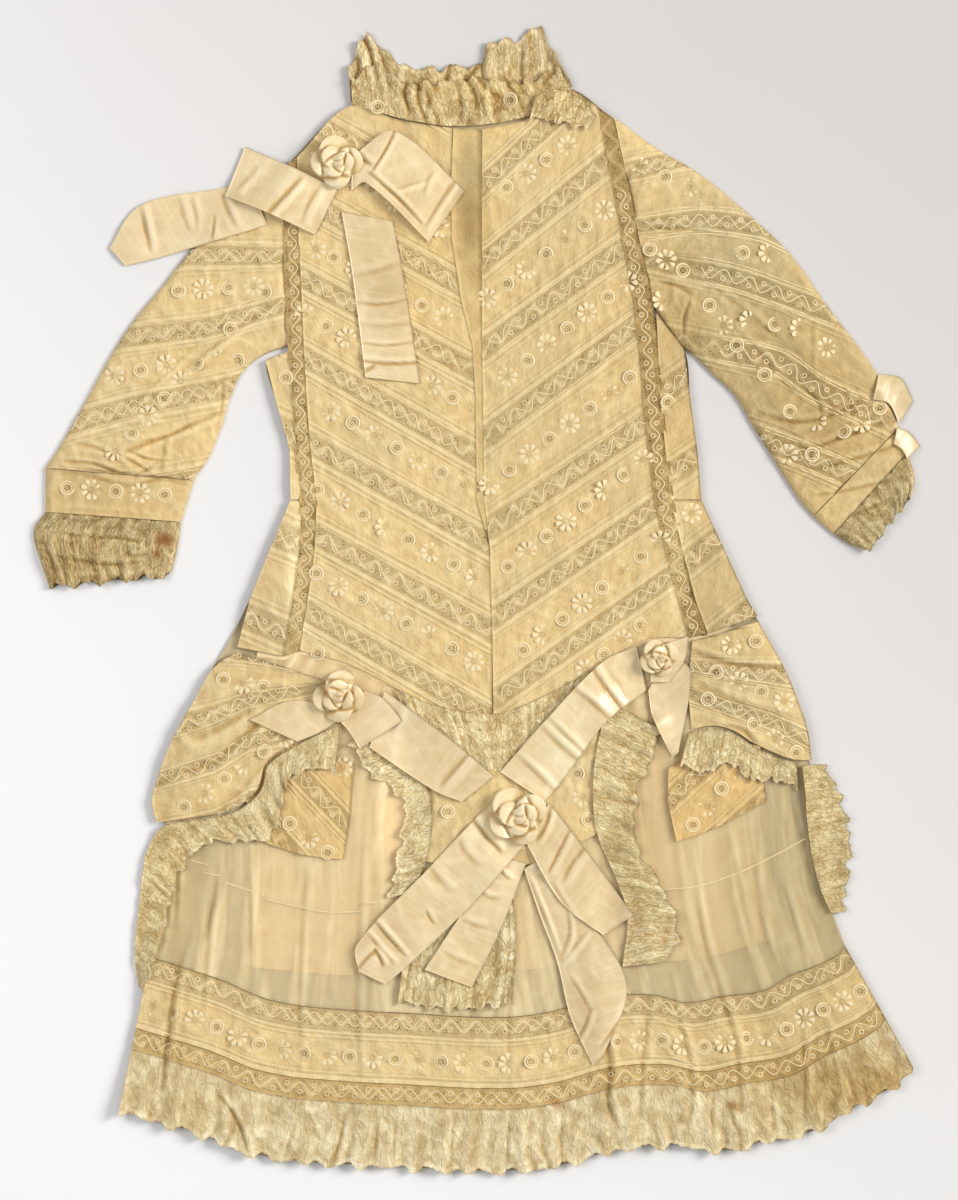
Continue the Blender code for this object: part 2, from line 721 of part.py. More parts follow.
def drape_laces():
    gathered = (
        (-90.4, -81.3), (-115.5, -93.1), (-137.2, -107.7), (-143.2, -125.5), (-161.0, -139.3),
        (-188.7, -144.6), (-207.2, -148.6),
        (-217.8, -164.4), (-223.0, -197.4), (-226.3, -235.0), (-223.7, -253.5),
    )
    free = (
        (-93.7, -111.6), (-110.8, -110.3), (-124.0, -116.9), (-129.3, -136.7), (-137.2, -155.2),
        (-158.4, -157.8), (-178.2, -159.1),
        (-195.3, -176.3), (-203.2, -201.4), (-213.1, -235.0), (-220.4, -258.1),
    )
    place = scalloped(turned(between(gathered, free)), 18, 1.2)
    sheet("drape_lace_left", (36, 2), place, None, gathers(18, 2.4), wall=LACE, cloth="lace")
    gathered = (
        (139.3, -85.9), (155.1, -83.6), (168.3, -86.9), (180.9, -95.1), (192.8, -101.1),
        (209.9, -107.0),
    )
    free = (
        (133.4, -106.3), (147.9, -112.9), (165.0, -106.3), (179.6, -116.9), (195.4, -117.6),
        (210.6, -122.2),
    )
    place = scalloped(turned(between(gathered, free)), 11, 1.2)
    sheet("drape_lace_right", (22, 2), place, None, gathers(11, 2.4), wall=LACE, cloth="lace")
    gathered = (
        (213.2, -107.7), (215.2, -124.8), (216.5, -144.6), (219.8, -167.7), (225.8, -190.8),
        (232.4, -205.3),
    )
    free = (
        (227.1, -107.7), (236.3, -123.5), (242.3, -143.3), (244.9, -159.1), (242.9, -184.2),
        (240.3, -205.3),
    )
    place = scalloped(turned(between(gathered, free)), 8, 1.5)
    sheet("drape_lace_side", (16, 2), place, None, gathers(8, 2.2), wall=LACE, cloth="lace")


def turned(place):
    """The same strip with its length across the grid and its depth down it."""
    return lambda u, v: place(v, u)


def apron():
    top = ((-48.1, -65.4), (-25.0, -79.9), (14.6, -83.9), (54.2, -67.4), (84.5, -49.6))
    bottom = ((-43.5, -169.7), (-5.2, -176.3), (27.8, -175.0), (77.9, -153.9))
    left = ((-48.1, -65.4), (-35.6, -118.2), (-43.5, -169.7))
    right = ((84.5, -49.6), (80.6, -91.8), (77.9, -153.9))
    sheet("apron_centre", (8, 5), patch(top, bottom, left, right), None)
    outer = ((-83.1, -93.1), (-72.6, -111.0), (-48.8, -131.4), (-50.8, -159.1), (-58.0, -195.4))
    inner = ((-69.9, -88.5), (-43.5, -110.3), (-31.6, -128.1), (-31.6, -162.4), (-42.2, -190.8))
    place = scalloped(turned(between(inner, outer)), 8, 1.2)
    sheet("apron_lace_left", (16, 2), place, None, gathers(8, 1.8), wall=LACE, cloth="lace")
    inner = (
        (85.8, -65.4), (78.6, -95.1), (75.9, -117.6), (77.9, -151.2), (91.8, -184.9),
        (98.4, -207.3), (95.1, -241.0),
    )
    outer = (
        (118.8, -83.9), (114.9, -103.0), (105.6, -121.5), (103.7, -159.1), (121.5, -189.5),
        (132.0, -218.5), (122.8, -237.0),
    )
    place = scalloped(turned(between(inner, outer)), 10, 1.5)
    sheet("apron_lace_right", (20, 3), place, None, gathers(10, 2.2), wall=LACE, cloth="lace")
    top = ((-30.3, -178.9), (-5.2, -180.3), (21.8, -178.9))
    bottom = ((-52.1, -262.8), (-25.0, -268.0), (1.4, -267.4), (22.5, -264.7))
    left = ((-30.3, -178.9), (-46.2, -223.8), (-52.1, -262.8))
    right = ((21.8, -178.9), (25.1, -223.8), (22.5, -264.7))
    place = scalloped(patch(top, bottom, left, right), 7, 1.5)
    sheet("apron_lace_mid", (14, 4), place, None, gathers(7, 1.8), wall=LACE, cloth="lace")


def waist_lace():
    top = ((-52.8, -63.4), (-25.0, -76.0), (12.6, -81.3), (54.2, -64.1), (83.2, -46.3))
    bottom = ((-39.6, -89.2), (-11.8, -103.0), (15.9, -110.3), (44.3, -93.1), (77.9, -69.4))
    left = ((-52.8, -63.4), (-39.6, -89.2))
    right = ((83.2, -46.3), (77.9, -69.4))
    place = patch(top, bottom, left, right)
    sheet("waist_lace", (24, 2), place, None, gathers(12, 1.6), wall=LACE, cloth="lace")


def collar():
    seam = ((-83.8, 329.3), (-54.7, 324.0), (1.4, 321.3), (52.8, 330.6), (62.1, 339.5))
    free = (
        (-85.1, 349.1), (-73.9, 372.2), (-54.7, 356.3), (-38.2, 350.4), (-18.4, 351.7),
        (0.0, 353.0), (9.3, 368.9), (26.4, 368.9),
        (38.3, 378.8), (49.5, 362.3), (58.1, 347.7),
    )
    place = scalloped(turned(between(seam, free)), 13, 1.6)
    sheet("collar_back", (26, 3), place, 0.0, gathers(13, 2.4), wall=LACE, cloth="lace")
    seam = ((-83.1, 327.3), (-51.4, 318.0), (-15.1, 312.8), (33.0, 319.4), (61.4, 337.8))
    free = (
        (-83.1, 341.1), (-68.6, 353.0), (-48.1, 341.1), (-25.0, 341.1), (1.4, 343.8), (29.1, 341.1),
        (54.2, 350.4),
    )
    place = scalloped(turned(between(seam, free)), 13, 1.4)
    sheet("collar_front", (26, 3), place, None, gathers(13, 2.6), wall=LACE, cloth="lace")
    edge_a = ((38.3, 333.2), (54.2, 335.9), (67.4, 330.6), (77.9, 318.7))
    edge_b = ((34.4, 318.7), (48.9, 316.1), (62.1, 313.4), (72.6, 310.8))
    place = scalloped(turned(between(edge_a, edge_b)), 4, 1.2)
    sheet("collar_spray", (8, 2), place, None, gathers(4, 1.8), wall=LACE, cloth="lace")


def ribbon(name, edge_a, edge_b, creases=(), arch=0.0, along=8, across=2):
    """A length of ribbon between its two edges, with creases across it: place, rise, half width."""

    def lift(u, v):
        total = arch * math.sin(math.pi * v)
        for centre, rise, width in creases:
            total += rise * math.exp(-(((v - centre) / width) ** 2))
        return total + 0.5 * math.sin(math.pi * u)

    place = between(edge_a, edge_b)
    return sheet(name, (across, along), place, None, lift, wall=SATIN, cloth="satin")


def rosette(name, centre, radius, turns, height, start=0.0):
    """A rose of ribbon: a strip wound into a spiral that leans outwards."""
    count = round(12 * turns)
    mesh = bmesh.new()
    bmesh.ops.create_grid(mesh, x_segments=count, y_segments=2, size=0.5)
    bases = [0.0] * (count + 1)
    for k in range(count + 1):
        angle = start + 2.0 * math.pi * turns * k / count
        wide = radius * (0.16 + 0.84 * k / count)
        tops = []
        for lean in (0.68, 0.76, 0.84):
            for step in (-0.25, -0.12, 0.0, 0.12, 0.25):
                x = centre[0] + wide * lean * math.cos(angle + step)
                y = centre[1] + wide * lean * math.sin(angle + step)
                tops.append(PILE.top(x, y))
        bases[k] = max(tops) + REST + 0.8 * SATIN
    for vert in mesh.verts:
        u = vert.co.x + 0.5
        v = vert.co.y + 0.5
        angle = start + 2.0 * math.pi * turns * u
        wide = radius * (0.16 + 0.84 * u)
        lean = mix(0.74, 1.0, v) + 0.035 * math.sin(5.0 * angle) * v
        vert.co.x = centre[0] + wide * lean * math.cos(angle)
        vert.co.y = centre[1] + wide * lean * math.sin(angle)
        top = max(bases) + height * (1.0 - 0.45 * u + 0.08 * math.sin(3.0 * angle))
        vert.co.z = mix(bases[round(u * count)], top, v)
    made = finish(name, mesh, "satin")
    wall = made.modifiers.new("wall", "SOLIDIFY")
    wall.thickness = SATIN * MM
    wall.offset = 0.0
    return made


def shoulder_bow():
    side = ((-150.4, 275.1), (-168.3, 272.5), (-223.0, 260.6), (-242.8, 232.9))
    far = ((-138.6, 247.4), (-166.9, 238.8), (-213.1, 225.6), (-232.3, 221.0))
    ribbon("shoulder_tail_side", side, far, ((0.35, 0.9, 0.05), (0.6, 1.3, 0.06), (0.85, 1.0, 0.06)))
    edge_a = ((-89.7, 256.0), (-83.1, 218.4), (-73.9, 147.1))
    edge_b = ((-56.1, 250.1), (-48.8, 211.8), (-38.2, 143.1))
    ribbon("shoulder_tail_down", edge_a, edge_b, ((0.42, 0.6, 0.06), (0.88, 1.0, 0.04)))
    edge_a = ((-92.4, 270.5), (-117.4, 283.1), (-153.7, 299.6))
    edge_b = ((-106.9, 240.8), (-137.2, 254.7), (-166.3, 266.6))
    ribbon("shoulder_loop_left", edge_a, edge_b, ((0.45, 1.5, 0.08),), arch=3.5)
    edge_a = ((-83.1, 292.3), (-54.7, 308.8), (-8.5, 269.9))
    edge_b = ((-83.1, 269.9), (-73.9, 275.1), (-32.3, 236.2))
    ribbon("shoulder_loop_right", edge_a, edge_b, ((0.25, 1.2, 0.08), (0.75, 0.8, 0.08)), arch=3.5)
    rosette("shoulder_rosette", (-92.4, 288.3), 17.2, 2.3, 9.0)


def hip_bows():
    edge_a = ((-102.9, -68.1), (-124.0, -65.4), (-149.8, -78.0))
    edge_b = ((-93.7, -79.9), (-105.6, -87.2), (-118.8, -92.5))
    ribbon("hip_tab_left_side", edge_a, edge_b, along=5)
    edge_a = ((-61.3, -58.8), (-18.4, -90.5), (10.6, -114.9))
    edge_b = ((-71.2, -96.4), (-28.3, -124.8), (-10.5, -132.1))
    ribbon("swag_left", edge_a, edge_b, ((0.45, 1.2, 0.05), (0.85, 0.8, 0.06)), arch=1.5)
    edge_a = ((-73.9, -58.8), (-62.0, -64.1), (-49.5, -78.6))
    edge_b = ((-92.4, -77.3), (-84.4, -86.5), (-77.8, -97.1))
    ribbon("hip_tab_left_front", edge_a, edge_b, along=5)
    rosette("hip_rosette_left", (-92.4, -62.8), 16.5, 2.2, 8.0, start=2.0)
    edge_a = ((128.1, -32.4), (140.0, -46.9), (132.0, -99.7))
    edge_b = ((112.2, -58.8), (114.9, -76.0), (128.1, -103.0))
    ribbon("hip_tab_right_front", edge_a, edge_b, along=6)
    edge_a = ((138.6, -23.2), (136.0, -39.0), (125.4, -53.5))
    edge_b = ((122.8, -28.5), (114.9, -40.3), (113.6, -53.5))
    ribbon("hip_tab_right_side", edge_a, edge_b, along=5)
    edge_a = ((14.6, -112.3), (44.3, -78.6), (82.5, -39.7), (104.3, -29.8))
    edge_b = ((44.3, -132.1), (58.1, -114.3), (84.5, -79.3), (110.9, -58.8))
    creases = ((0.2, 1.0, 0.05), (0.42, 0.9, 0.06), (0.66, 1.2, 0.04), (0.8, 2.0, 0.05))
    ribbon("swag_right", edge_a, edge_b, creases, arch=1.5, along=12)
    rosette("hip_rosette_right", (119.5, -37.7), 12.5, 1.8, 6.0, start=4.0)


def centre_bow():
    edge_a = ((30.4, -176.3), (41.0, -207.3), (52.2, -237.7), (60.8, -273.3), (75.9, -305.7))
    edge_b = ((46.2, -165.7), (62.1, -200.7), (84.5, -224.5), (98.4, -255.5), (83.2, -297.7))
    ribbon("centre_tail_long", edge_a, edge_b, ((0.3, 1.0, 0.05), (0.55, 0.8, 0.05)), along=10)
    edge_a = ((14.6, -168.4), (-11.8, -207.3), (-34.9, -242.3))
    edge_b = ((31.7, -172.3), (15.9, -213.9), (-3.9, -254.2))
    ribbon("centre_tail_short", edge_a, edge_b, ((0.5, 0.6, 0.08),))
    edge_a = ((46.9, -132.7), (74.0, -167.7), (102.3, -206.7))
    edge_b = ((31.7, -159.1), (54.2, -197.4), (82.5, -219.9))
    ribbon("centre_tail_right", edge_a, edge_b, ((0.3, 1.2, 0.06),))
    edge_a = ((9.3, -131.4), (-31.6, -175.0), (-79.8, -226.5), (-78.5, -243.6))
    edge_b = ((33.0, -157.8), (-5.2, -200.7), (-47.5, -241.0), (-60.7, -252.2))
    creases = ((0.2, 1.0, 0.05), (0.72, 1.6, 0.05), (0.95, 1.6, 0.06))
    ribbon("centre_tail_left", edge_a, edge_b, creases, along=10)
    rosette("centre_rosette", (26.4, -141.3), 20.5, 2.5, 9.0, start=1.0)


def sleeve_ribbons():
    edge_a = ((264.0, 149.7), (278.6, 147.1), (287.1, 131.9))
    edge_b = ((260.1, 132.6), (270.6, 129.9), (277.9, 116.7))
    ribbon("sleeve_ribbon_upper", edge_a, edge_b, ((0.5, 0.8, 0.15),), along=5)
    edge_a = ((275.9, 114.1), (283.8, 111.5), (291.8, 102.2))
    edge_b = ((273.9, 103.5), (279.2, 99.6), (282.5, 93.6))
    ribbon("sleeve_ribbon_lower", edge_a, edge_b, ((0.5, 0.6, 0.15),), along=4)


for old in list(bpy.data.objects):
    bpy.data.objects.remove(old)
PART = bpy.data.collections.new("lace_dress")
bpy.context.scene.collection.children.link(PART)
PILE = Pile()
HEM_LINE = curve(HEM)
SKIRT_LENGTH = 297.0

back_bodice()
back_skirt()
lining_front()
bodice_fronts()
placket()
insertions()
side_panels()
sleeves()
cuffs()
skirt_muslin()
hem_strip("hem_insertion_upper", 1, MUSLIN_END, BAND_START, "lace")
hem_strip("hem_band", 2, BAND_START, BAND_END, "batiste")
hem_strip("hem_insertion_lower", 1, BAND_END, LACE_START, "lace")
hem_laces()
yoke_patches()
drapes()
drape_laces()
waist_lace()
apron()
collar()
shoulder_bow()
hip_bows()
centre_bow()
sleeve_ribbons()
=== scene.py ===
"""A child's lace dress laid out flat on a pale table, front up, seen from straight above.

Tables are in millimetres, x to the right and y towards the neck. Left and right are as seen in the picture.
"""

import math

import bpy
import numpy as np
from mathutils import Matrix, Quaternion, Vector
from mathutils.bvhtree import BVHTree


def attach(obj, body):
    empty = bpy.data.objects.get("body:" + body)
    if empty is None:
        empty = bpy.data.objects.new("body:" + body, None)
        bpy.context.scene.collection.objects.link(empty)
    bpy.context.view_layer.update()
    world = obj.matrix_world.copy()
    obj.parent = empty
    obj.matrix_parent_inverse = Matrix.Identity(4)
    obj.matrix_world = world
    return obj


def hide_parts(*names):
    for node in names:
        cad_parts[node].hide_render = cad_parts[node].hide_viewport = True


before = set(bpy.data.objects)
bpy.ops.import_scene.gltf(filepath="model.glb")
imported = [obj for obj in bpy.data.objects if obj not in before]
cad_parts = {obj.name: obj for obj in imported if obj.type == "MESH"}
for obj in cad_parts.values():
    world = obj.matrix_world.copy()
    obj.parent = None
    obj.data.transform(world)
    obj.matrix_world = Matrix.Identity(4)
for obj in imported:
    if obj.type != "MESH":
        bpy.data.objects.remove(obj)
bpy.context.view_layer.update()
MM, PER_METRE = 0.001, 1000.0
ABOVE, DOWN = 100.0, (0.0, 0.0, -1.0)  # where a ray starts, and its way


# The table that the dress lies on: a broad board under plain pale paper, lit by a
# large soft lamp on the right, a weak one on the left and pale walls all round. The paper
# carries painted shade that darkens it towards the upper right. The camera looks
# straight down from two metres and takes in the whole dress.
HALF_BOARD, PAPER = 2, -0.0004  # metres: half the board's width, and the height of the paper
board = bpy.data.meshes.new("table_paper")
corners = [(x * HALF_BOARD, y * HALF_BOARD, PAPER) for x, y in ((-1, -1), (1, -1), (1, 1), (-1, 1))]
board.from_pydata(corners, [], [(0, 1, 2, 3)])
table = bpy.data.objects.new("table_paper", board)
bpy.context.scene.collection.objects.link(table)

camera = bpy.data.objects.new("camera", bpy.data.cameras.new("camera"))
SENSOR, CAMERA_HEIGHT, VIEW_HEIGHT = 36.0, 2.0, 0.792  # millimetres, then metres
camera.location = (0.0007, 0.0006, CAMERA_HEIGHT)
camera.data.sensor_fit = "VERTICAL"
camera.data.sensor_height = SENSOR
camera.data.lens = SENSOR * CAMERA_HEIGHT / VIEW_HEIGHT
bpy.context.scene.collection.objects.link(camera)
bpy.context.scene.camera = camera


def lamp(name, place, width, watts, colour):
    """A square soft lamp that points at the middle of the dress."""
    made = bpy.data.objects.new(name, bpy.data.lights.new(name, "AREA"))
    made.data.size = width
    made.data.energy = watts
    made.data.color = colour
    made.location = place
    made.rotation_euler = (-Vector(place)).to_track_quat("-Z", "Y").to_euler()
    bpy.context.scene.collection.objects.link(made)


lamp("lamp_right", (3.0, 0.8, 2.05), 1.4, 124.0, (1.0, 0.99, 0.965))
lamp("lamp_left", (-1.4, 0.3, 1.6), 1.2, 14.0, (0.98, 0.98, 1.0))
walls = bpy.data.worlds.new("walls")
walls.use_nodes = True
walls.node_tree.nodes["Background"].inputs["Color"].default_value = (0.99, 0.99, 1.0, 1.0)
walls.node_tree.nodes["Background"].inputs["Strength"].default_value = 0.42
bpy.context.scene.world = walls
bpy.context.scene.view_settings.view_transform = "Standard"


class Shade:
    """One number in a finish. Sums and products of it add Math nodes."""

    def __init__(self, tree, socket):
        self.tree = tree
        self.socket = socket

    def calc(self, operation, *terms):
        step = self.tree.nodes.new("ShaderNodeMath")
        step.operation = operation
        for slot, term in zip(step.inputs, terms):
            if isinstance(term, Shade):
                self.tree.links.new(term.socket, slot)
            else:
                slot.default_value = term
        return Shade(self.tree, step.outputs[0])

    def __add__(self, other):
        return self.calc("ADD", self, other)

    def __radd__(self, other):
        return self.calc("ADD", other, self)

    def __sub__(self, other):
        return self.calc("SUBTRACT", self, other)

    def __rsub__(self, other):
        return self.calc("SUBTRACT", other, self)

    def __mul__(self, other):
        return self.calc("MULTIPLY", self, other)

    def __rmul__(self, other):
        return self.calc("MULTIPLY", other, self)

    def __truediv__(self, other):
        return self.calc("DIVIDE", self, other)

    def hill(self, centre, width):
        """1 at the centre, falling softly to 0 a few widths away."""
        away = (self - centre) / width
        return self.calc("EXPONENT", away * away * -1.0)

    def ramp(self, low, high):
        """0 below low and 1 above high, or the other way round."""
        step = self.tree.nodes.new("ShaderNodeMapRange")
        step.interpolation_type = "SMOOTHSTEP"
        self.tree.links.new(self.socket, step.inputs["Value"])
        step.inputs["From Min"].default_value = min(low, high)
        step.inputs["From Max"].default_value = max(low, high)
        step.inputs["To Min"].default_value = 0.0 if low < high else 1.0
        step.inputs["To Max"].default_value = 1.0 if low < high else 0.0
        return Shade(self.tree, step.outputs[0])

    def wave(self, pitch):
        """A sine along this number, from -1 to 1."""
        return self.calc("SINE", self * (2.0 * math.pi / pitch))


class Finish:
    """A material and its nodes, built up step by step."""

    def __init__(self, name, **constants):
        self.made = bpy.data.materials.new(name)
        self.made.use_nodes = True
        self.tree = self.made.node_tree
        self.shader = self.tree.nodes["Principled BSDF"]
        for socket, value in constants.items():
            self.shader.inputs[socket.replace("_", " ")].default_value = value

    def node(self, kind, settings=None, links=None, output=0):
        """Adds one node with its settings, then its values and links, and gives one of its outputs."""
        step = self.tree.nodes.new("ShaderNode" + kind)
        for key, value in (settings or {}).items():
            setattr(step, key, value)
        for key, value in (links or {}).items():
            if isinstance(value, Shade):
                self.tree.links.new(value.socket, step.inputs[key])
            else:
                step.inputs[key].default_value = value
        return Shade(self.tree, step.outputs[output])

    def mapped(self):
        """The two numbers of the piece's own map, in millimetres along and across the cloth."""
        place = self.node("UVMap", {"uv_map": "cloth"})
        along = self.node("SeparateXYZ", links={0: place})
        return along, Shade(self.tree, along.socket.node.outputs[1])

    def vector(self, x, y, z=0.0):
        return self.node("CombineXYZ", links={0: x, 1: y, 2: z})

    def noise(self, vector, scale, detail=2.0, rough=0.5):
        links = {"Vector": vector, "Scale": scale, "Detail": detail, "Roughness": rough}
        return self.node("TexNoise", links=links)

    def net(self, vector, scale, uneven=0.4):
        """The distance to the nearest thread of a fine net."""
        links = {"Vector": vector, "Scale": scale, "Randomness": uneven}
        return self.node("TexVoronoi", {"feature": "DISTANCE_TO_EDGE", "voronoi_dimensions": "2D"}, links)

    def blend(self, share, first, second, way="MIX"):
        links = {0: share, 6: first, 7: second}
        return self.node("Mix", {"data_type": "RGBA", "blend_type": way, "clamp_factor": True}, links, 2)

    def tinted(self, colour):
        """The colour times the piece's own tint, which carries its age marks and painted shade."""
        tint = self.node("Attribute", {"attribute_name": "tint"})
        return self.blend(1.0, colour, tint, "MULTIPLY")

    def feed(self, **links):
        for socket, value in links.items():
            self.tree.links.new(value.socket, self.shader.inputs[socket.replace("_", " ")])

    def fraction(self, value):
        return value.calc("FRACT", value)

    def crumple(self, vector):
        """Small soft dents in worn cloth, in millimetres."""
        return self.noise(vector, 0.1, 5.0, 0.62) * 2.2

    def batiste_ground(self, across_weave):
        """The colour of old batiste: slubs of the weave, soft clouds and patches that have yellowed."""
        spot = self.node("TexCoord", output=3)
        clouds = self.noise(spot, 34.0, 3.0, 0.6)
        hues = self.noise(spot, 15.0, 2.0)
        ground = self.blend(
            across_weave * 0.45 + clouds * 0.55, (0.65, 0.455, 0.195, 1), (0.89, 0.68, 0.33, 1),
        )
        return self.blend(hues.ramp(0.56, 0.36) * 0.4, ground, (0.68, 0.53, 0.28, 1)), clouds

    def relief(self, height):
        """Small relief, in millimetres, for the light alone."""
        links = {"Height": height, "Strength": 1.0, "Distance": MM}
        self.feed(Normal=self.node("Bump", links=links))


paper = Finish("table paper", Roughness=0.9)
spot = paper.node("TexCoord", output=3)
east = paper.node("SeparateXYZ", links={0: spot})
north = Shade(paper.tree, east.socket.node.outputs[1])
# Painted shade: the paper darkens towards the upper right, where the light falls off.
falloff_shade = east * 0.9 + north * 0.75 + paper.noise(spot, 3.0) * 0.1
paper.feed(Base_Color=paper.blend(falloff_shade.ramp(-0.5, 0.7), (0.93, 0.93, 0.92, 1), (0.6, 0.57, 0.55, 1)))
board.materials.append(paper.made)


# The back of the dress: a plain bodice and a plain gathered skirt of old muslin, cut
# in two pieces and sewn at the waist. It lies face down and flat on the table, so only
# its sheer shade shows through the front.
STAIN_AND_SHADE_MARKS = (
    # stains, paler or darker stretches of the old cloth, and painted shade where shadows lie or
    # the light falls off: x, y, half width, half height,
    # then the share of red, green and blue that is left at the middle, and its strength
    (52.2, -331.4, 3.0, 2.5, 0.72, 0.42, 0.18, 0.8),
    (168.3, -332.7, 4.0, 3.0, 0.6, 0.38, 0.2, 0.8),
    (248.9, -329.4, 3.0, 2.0, 0.75, 0.5, 0.3, 0.8),
    (122.1, -221.2, 2.0, 2.0, 0.8, 0.5, 0.3, 0.8),
    (101.7, -240.3, 2.0, 2.0, 0.75, 0.5, 0.3, 0.8),
    (-206.5, 40.2, 7.0, 4.5, 0.6, 0.27, 0.1, 0.95),
    (-211.8, 30.9, 3.5, 2.5, 0.62, 0.27, 0.1, 0.9),
    (233.7, 127.3, 3.0, 2.0, 0.62, 0.42, 0.25, 0.8),
    (9.3, 99.6, 10.0, 24.0, 0.9, 0.95, 0.98, 0.8),
    (80.6, 284.4, 40.0, 22.0, 0.96, 0.96, 0.97, 0.6),
    (-38.2, 205.2, 26.0, 70.0, 1.0, 0.95, 0.85, 0.8),
    (146.6, 93.0, 40.0, 60.0, 0.98, 0.94, 0.86, 0.5),
    (-196.6, -171.0, 30.0, 60.0, 0.97, 0.93, 0.85, 0.7),
    (14.6, 337.2, 70.0, 30.0, 0.98, 0.93, 0.8, 0.8),
    (14.6, -25.8, 70.0, 50.0, 1.02, 1.0, 0.97, 0.6),
    # painted shade: the crumples at the right elbow
    (239.0, 106.2, 34.0, 34.0, 0.84, 0.79, 0.7, 0.8),
    # painted shadow at the placket
    (-7.2, 250.1, 7.0, 26.0, 0.68, 0.62, 0.52, 0.9),
    # painted shade: the under layer of the shoulder bow's right loop
    (-56.7, 256.0, 16.0, 7.0, 0.9, 0.85, 0.78, 0.8),
    (258.8, -319.5, 50.0, 24.0, 0.72, 0.6, 0.4, 0.9),
    # painted shadow at the placket
    (1.4, 248.1, 9.0, 50.0, 0.84, 0.78, 0.66, 0.8),
    # painted shade: the right side of the dress darkened where the lamp's light falls off
    (212.6, -217.2, 80.0, 130.0, 0.76, 0.73, 0.66, 0.7),
    (212.6, 145.8, 85.0, 110.0, 0.72, 0.7, 0.64, 0.75),
    (54.2, 132.6, 60.0, 130.0, 0.9, 0.88, 0.84, 0.6),
    (146.6, -6.0, 34.0, 60.0, 0.78, 0.76, 0.72, 0.8),
    (-246.1, 73.2, 44.0, 20.0, 0.76, 0.72, 0.66, 0.8),
    (-143.8, 0.6, 26.0, 50.0, 0.84, 0.85, 0.9, 0.8),
    # painted shade: crumples under the right arm
    (130.1, 223.7, 16.0, 9.0, 0.8, 0.74, 0.62, 0.8),
    (140.0, 184.1, 12.0, 18.0, 0.8, 0.74, 0.62, 0.8),
    (-51.4, -131.4, 14.0, 50.0, 1.25, 1.26, 1.3, 0.9),
    (-216.4, -190.8, 16.0, 50.0, 1.16, 1.15, 1.08, 0.9),
    (-256.0, 27.0, 44.0, 24.0, 0.84, 0.78, 0.66, 0.8),
    (-61.3, 205.2, 13.0, 44.0, 0.84, 0.83, 0.8, 0.8),
    (75.3, -250.2, 22.0, 44.0, 0.9, 0.88, 0.85, 0.8),
    (-5.2, 337.2, 60.0, 16.0, 0.9, 0.85, 0.75, 0.8),
    (27.8, -88.5, 26.0, 16.0, 0.92, 0.87, 0.78, 0.8),
    (-190.0, -332.7, 34.0, 16.0, 0.93, 0.88, 0.78, 0.8),
    (87.2, -319.5, 8.0, 34.0, 0.86, 0.8, 0.7, 0.8),
    (-200.6, -276.6, 5.0, 60.0, 0.86, 0.8, 0.7, 0.8),
    (120.2, 168.9, 16.0, 60.0, 0.9, 0.85, 0.78, 0.7),
    (-275.8, 20.4, 30.0, 14.0, 0.9, 0.86, 0.8, 0.7),
    (-114.8, 73.2, 6.0, 40.0, 1.15, 1.2, 1.28, 0.9),
    (-120.7, 7.2, 6.0, 40.0, 1.48, 1.62, 1.85, 0.9),
    (124.1, 66.6, 7.0, 26.0, 1.14, 1.18, 1.26, 0.9),
    (130.7, 20.4, 7.0, 40.0, 1.48, 1.62, 1.85, 0.9),
    (169.7, 221.7, 50.0, 70.0, 0.78, 0.8, 0.82, 0.85),
    (222.5, 142.5, 46.0, 46.0, 0.85, 0.82, 0.76, 0.8),
    (103.7, -144.6, 20.0, 60.0, 0.88, 0.83, 0.74, 0.9),
    (-5.2, 271.2, 6.0, 50.0, 0.82, 0.85, 0.9, 0.9),
    (14.6, 358.3, 34.0, 10.0, 0.86, 0.87, 0.92, 0.9),
    (219.2, -321.5, 60.0, 22.0, 0.92, 0.86, 0.72, 0.85),
    (215.9, -177.6, 30.0, 70.0, 0.9, 0.89, 0.86, 0.8),
    (54.2, -93.1, 22.0, 26.0, 1.1, 1.18, 1.3, 0.85),
    (-5.2, -253.5, 24.0, 18.0, 0.94, 0.89, 0.76, 0.85),
    (173.0, -62.1, 26.0, 26.0, 0.9, 0.94, 1.03, 0.85),
    (80.6, 231.6, 34.0, 60.0, 0.92, 0.91, 0.9, 0.8),
)


def curve(points, by_index=False):
    """A smooth line through the points, as a function of 0 to 1 along its length or its points."""
    spots = np.array(points, float)
    last = len(spots) - 1
    gaps = np.ones(last) if by_index else np.linalg.norm(np.diff(spots, axis=0), axis=1)
    marks = np.concatenate(([0.0], np.cumsum(gaps)))
    index = np.arange(last + 1)
    ahead = np.minimum(index + 1, last)
    behind = np.maximum(index - 1, 0)
    slopes = (spots[ahead] - spots[behind]) / (marks[ahead] - marks[behind])[:, None]

    def at(t):
        along = np.clip(t, 0.0, 1.0) * marks[-1]
        i = np.clip(np.searchsorted(marks, along, side="left") - 1, 0, last - 1)
        span = (marks[i + 1] - marks[i])[..., None]
        f = (along - marks[i])[..., None] / span
        h1 = f * f * (3.0 - 2.0 * f)
        h2 = f * (1.0 - f) ** 2 * span
        h3 = f * f * (f - 1.0) * span
        return spots[i] * (1.0 - h1) + spots[i + 1] * h1 + slopes[i] * h2 + slopes[i + 1] * h3

    return at


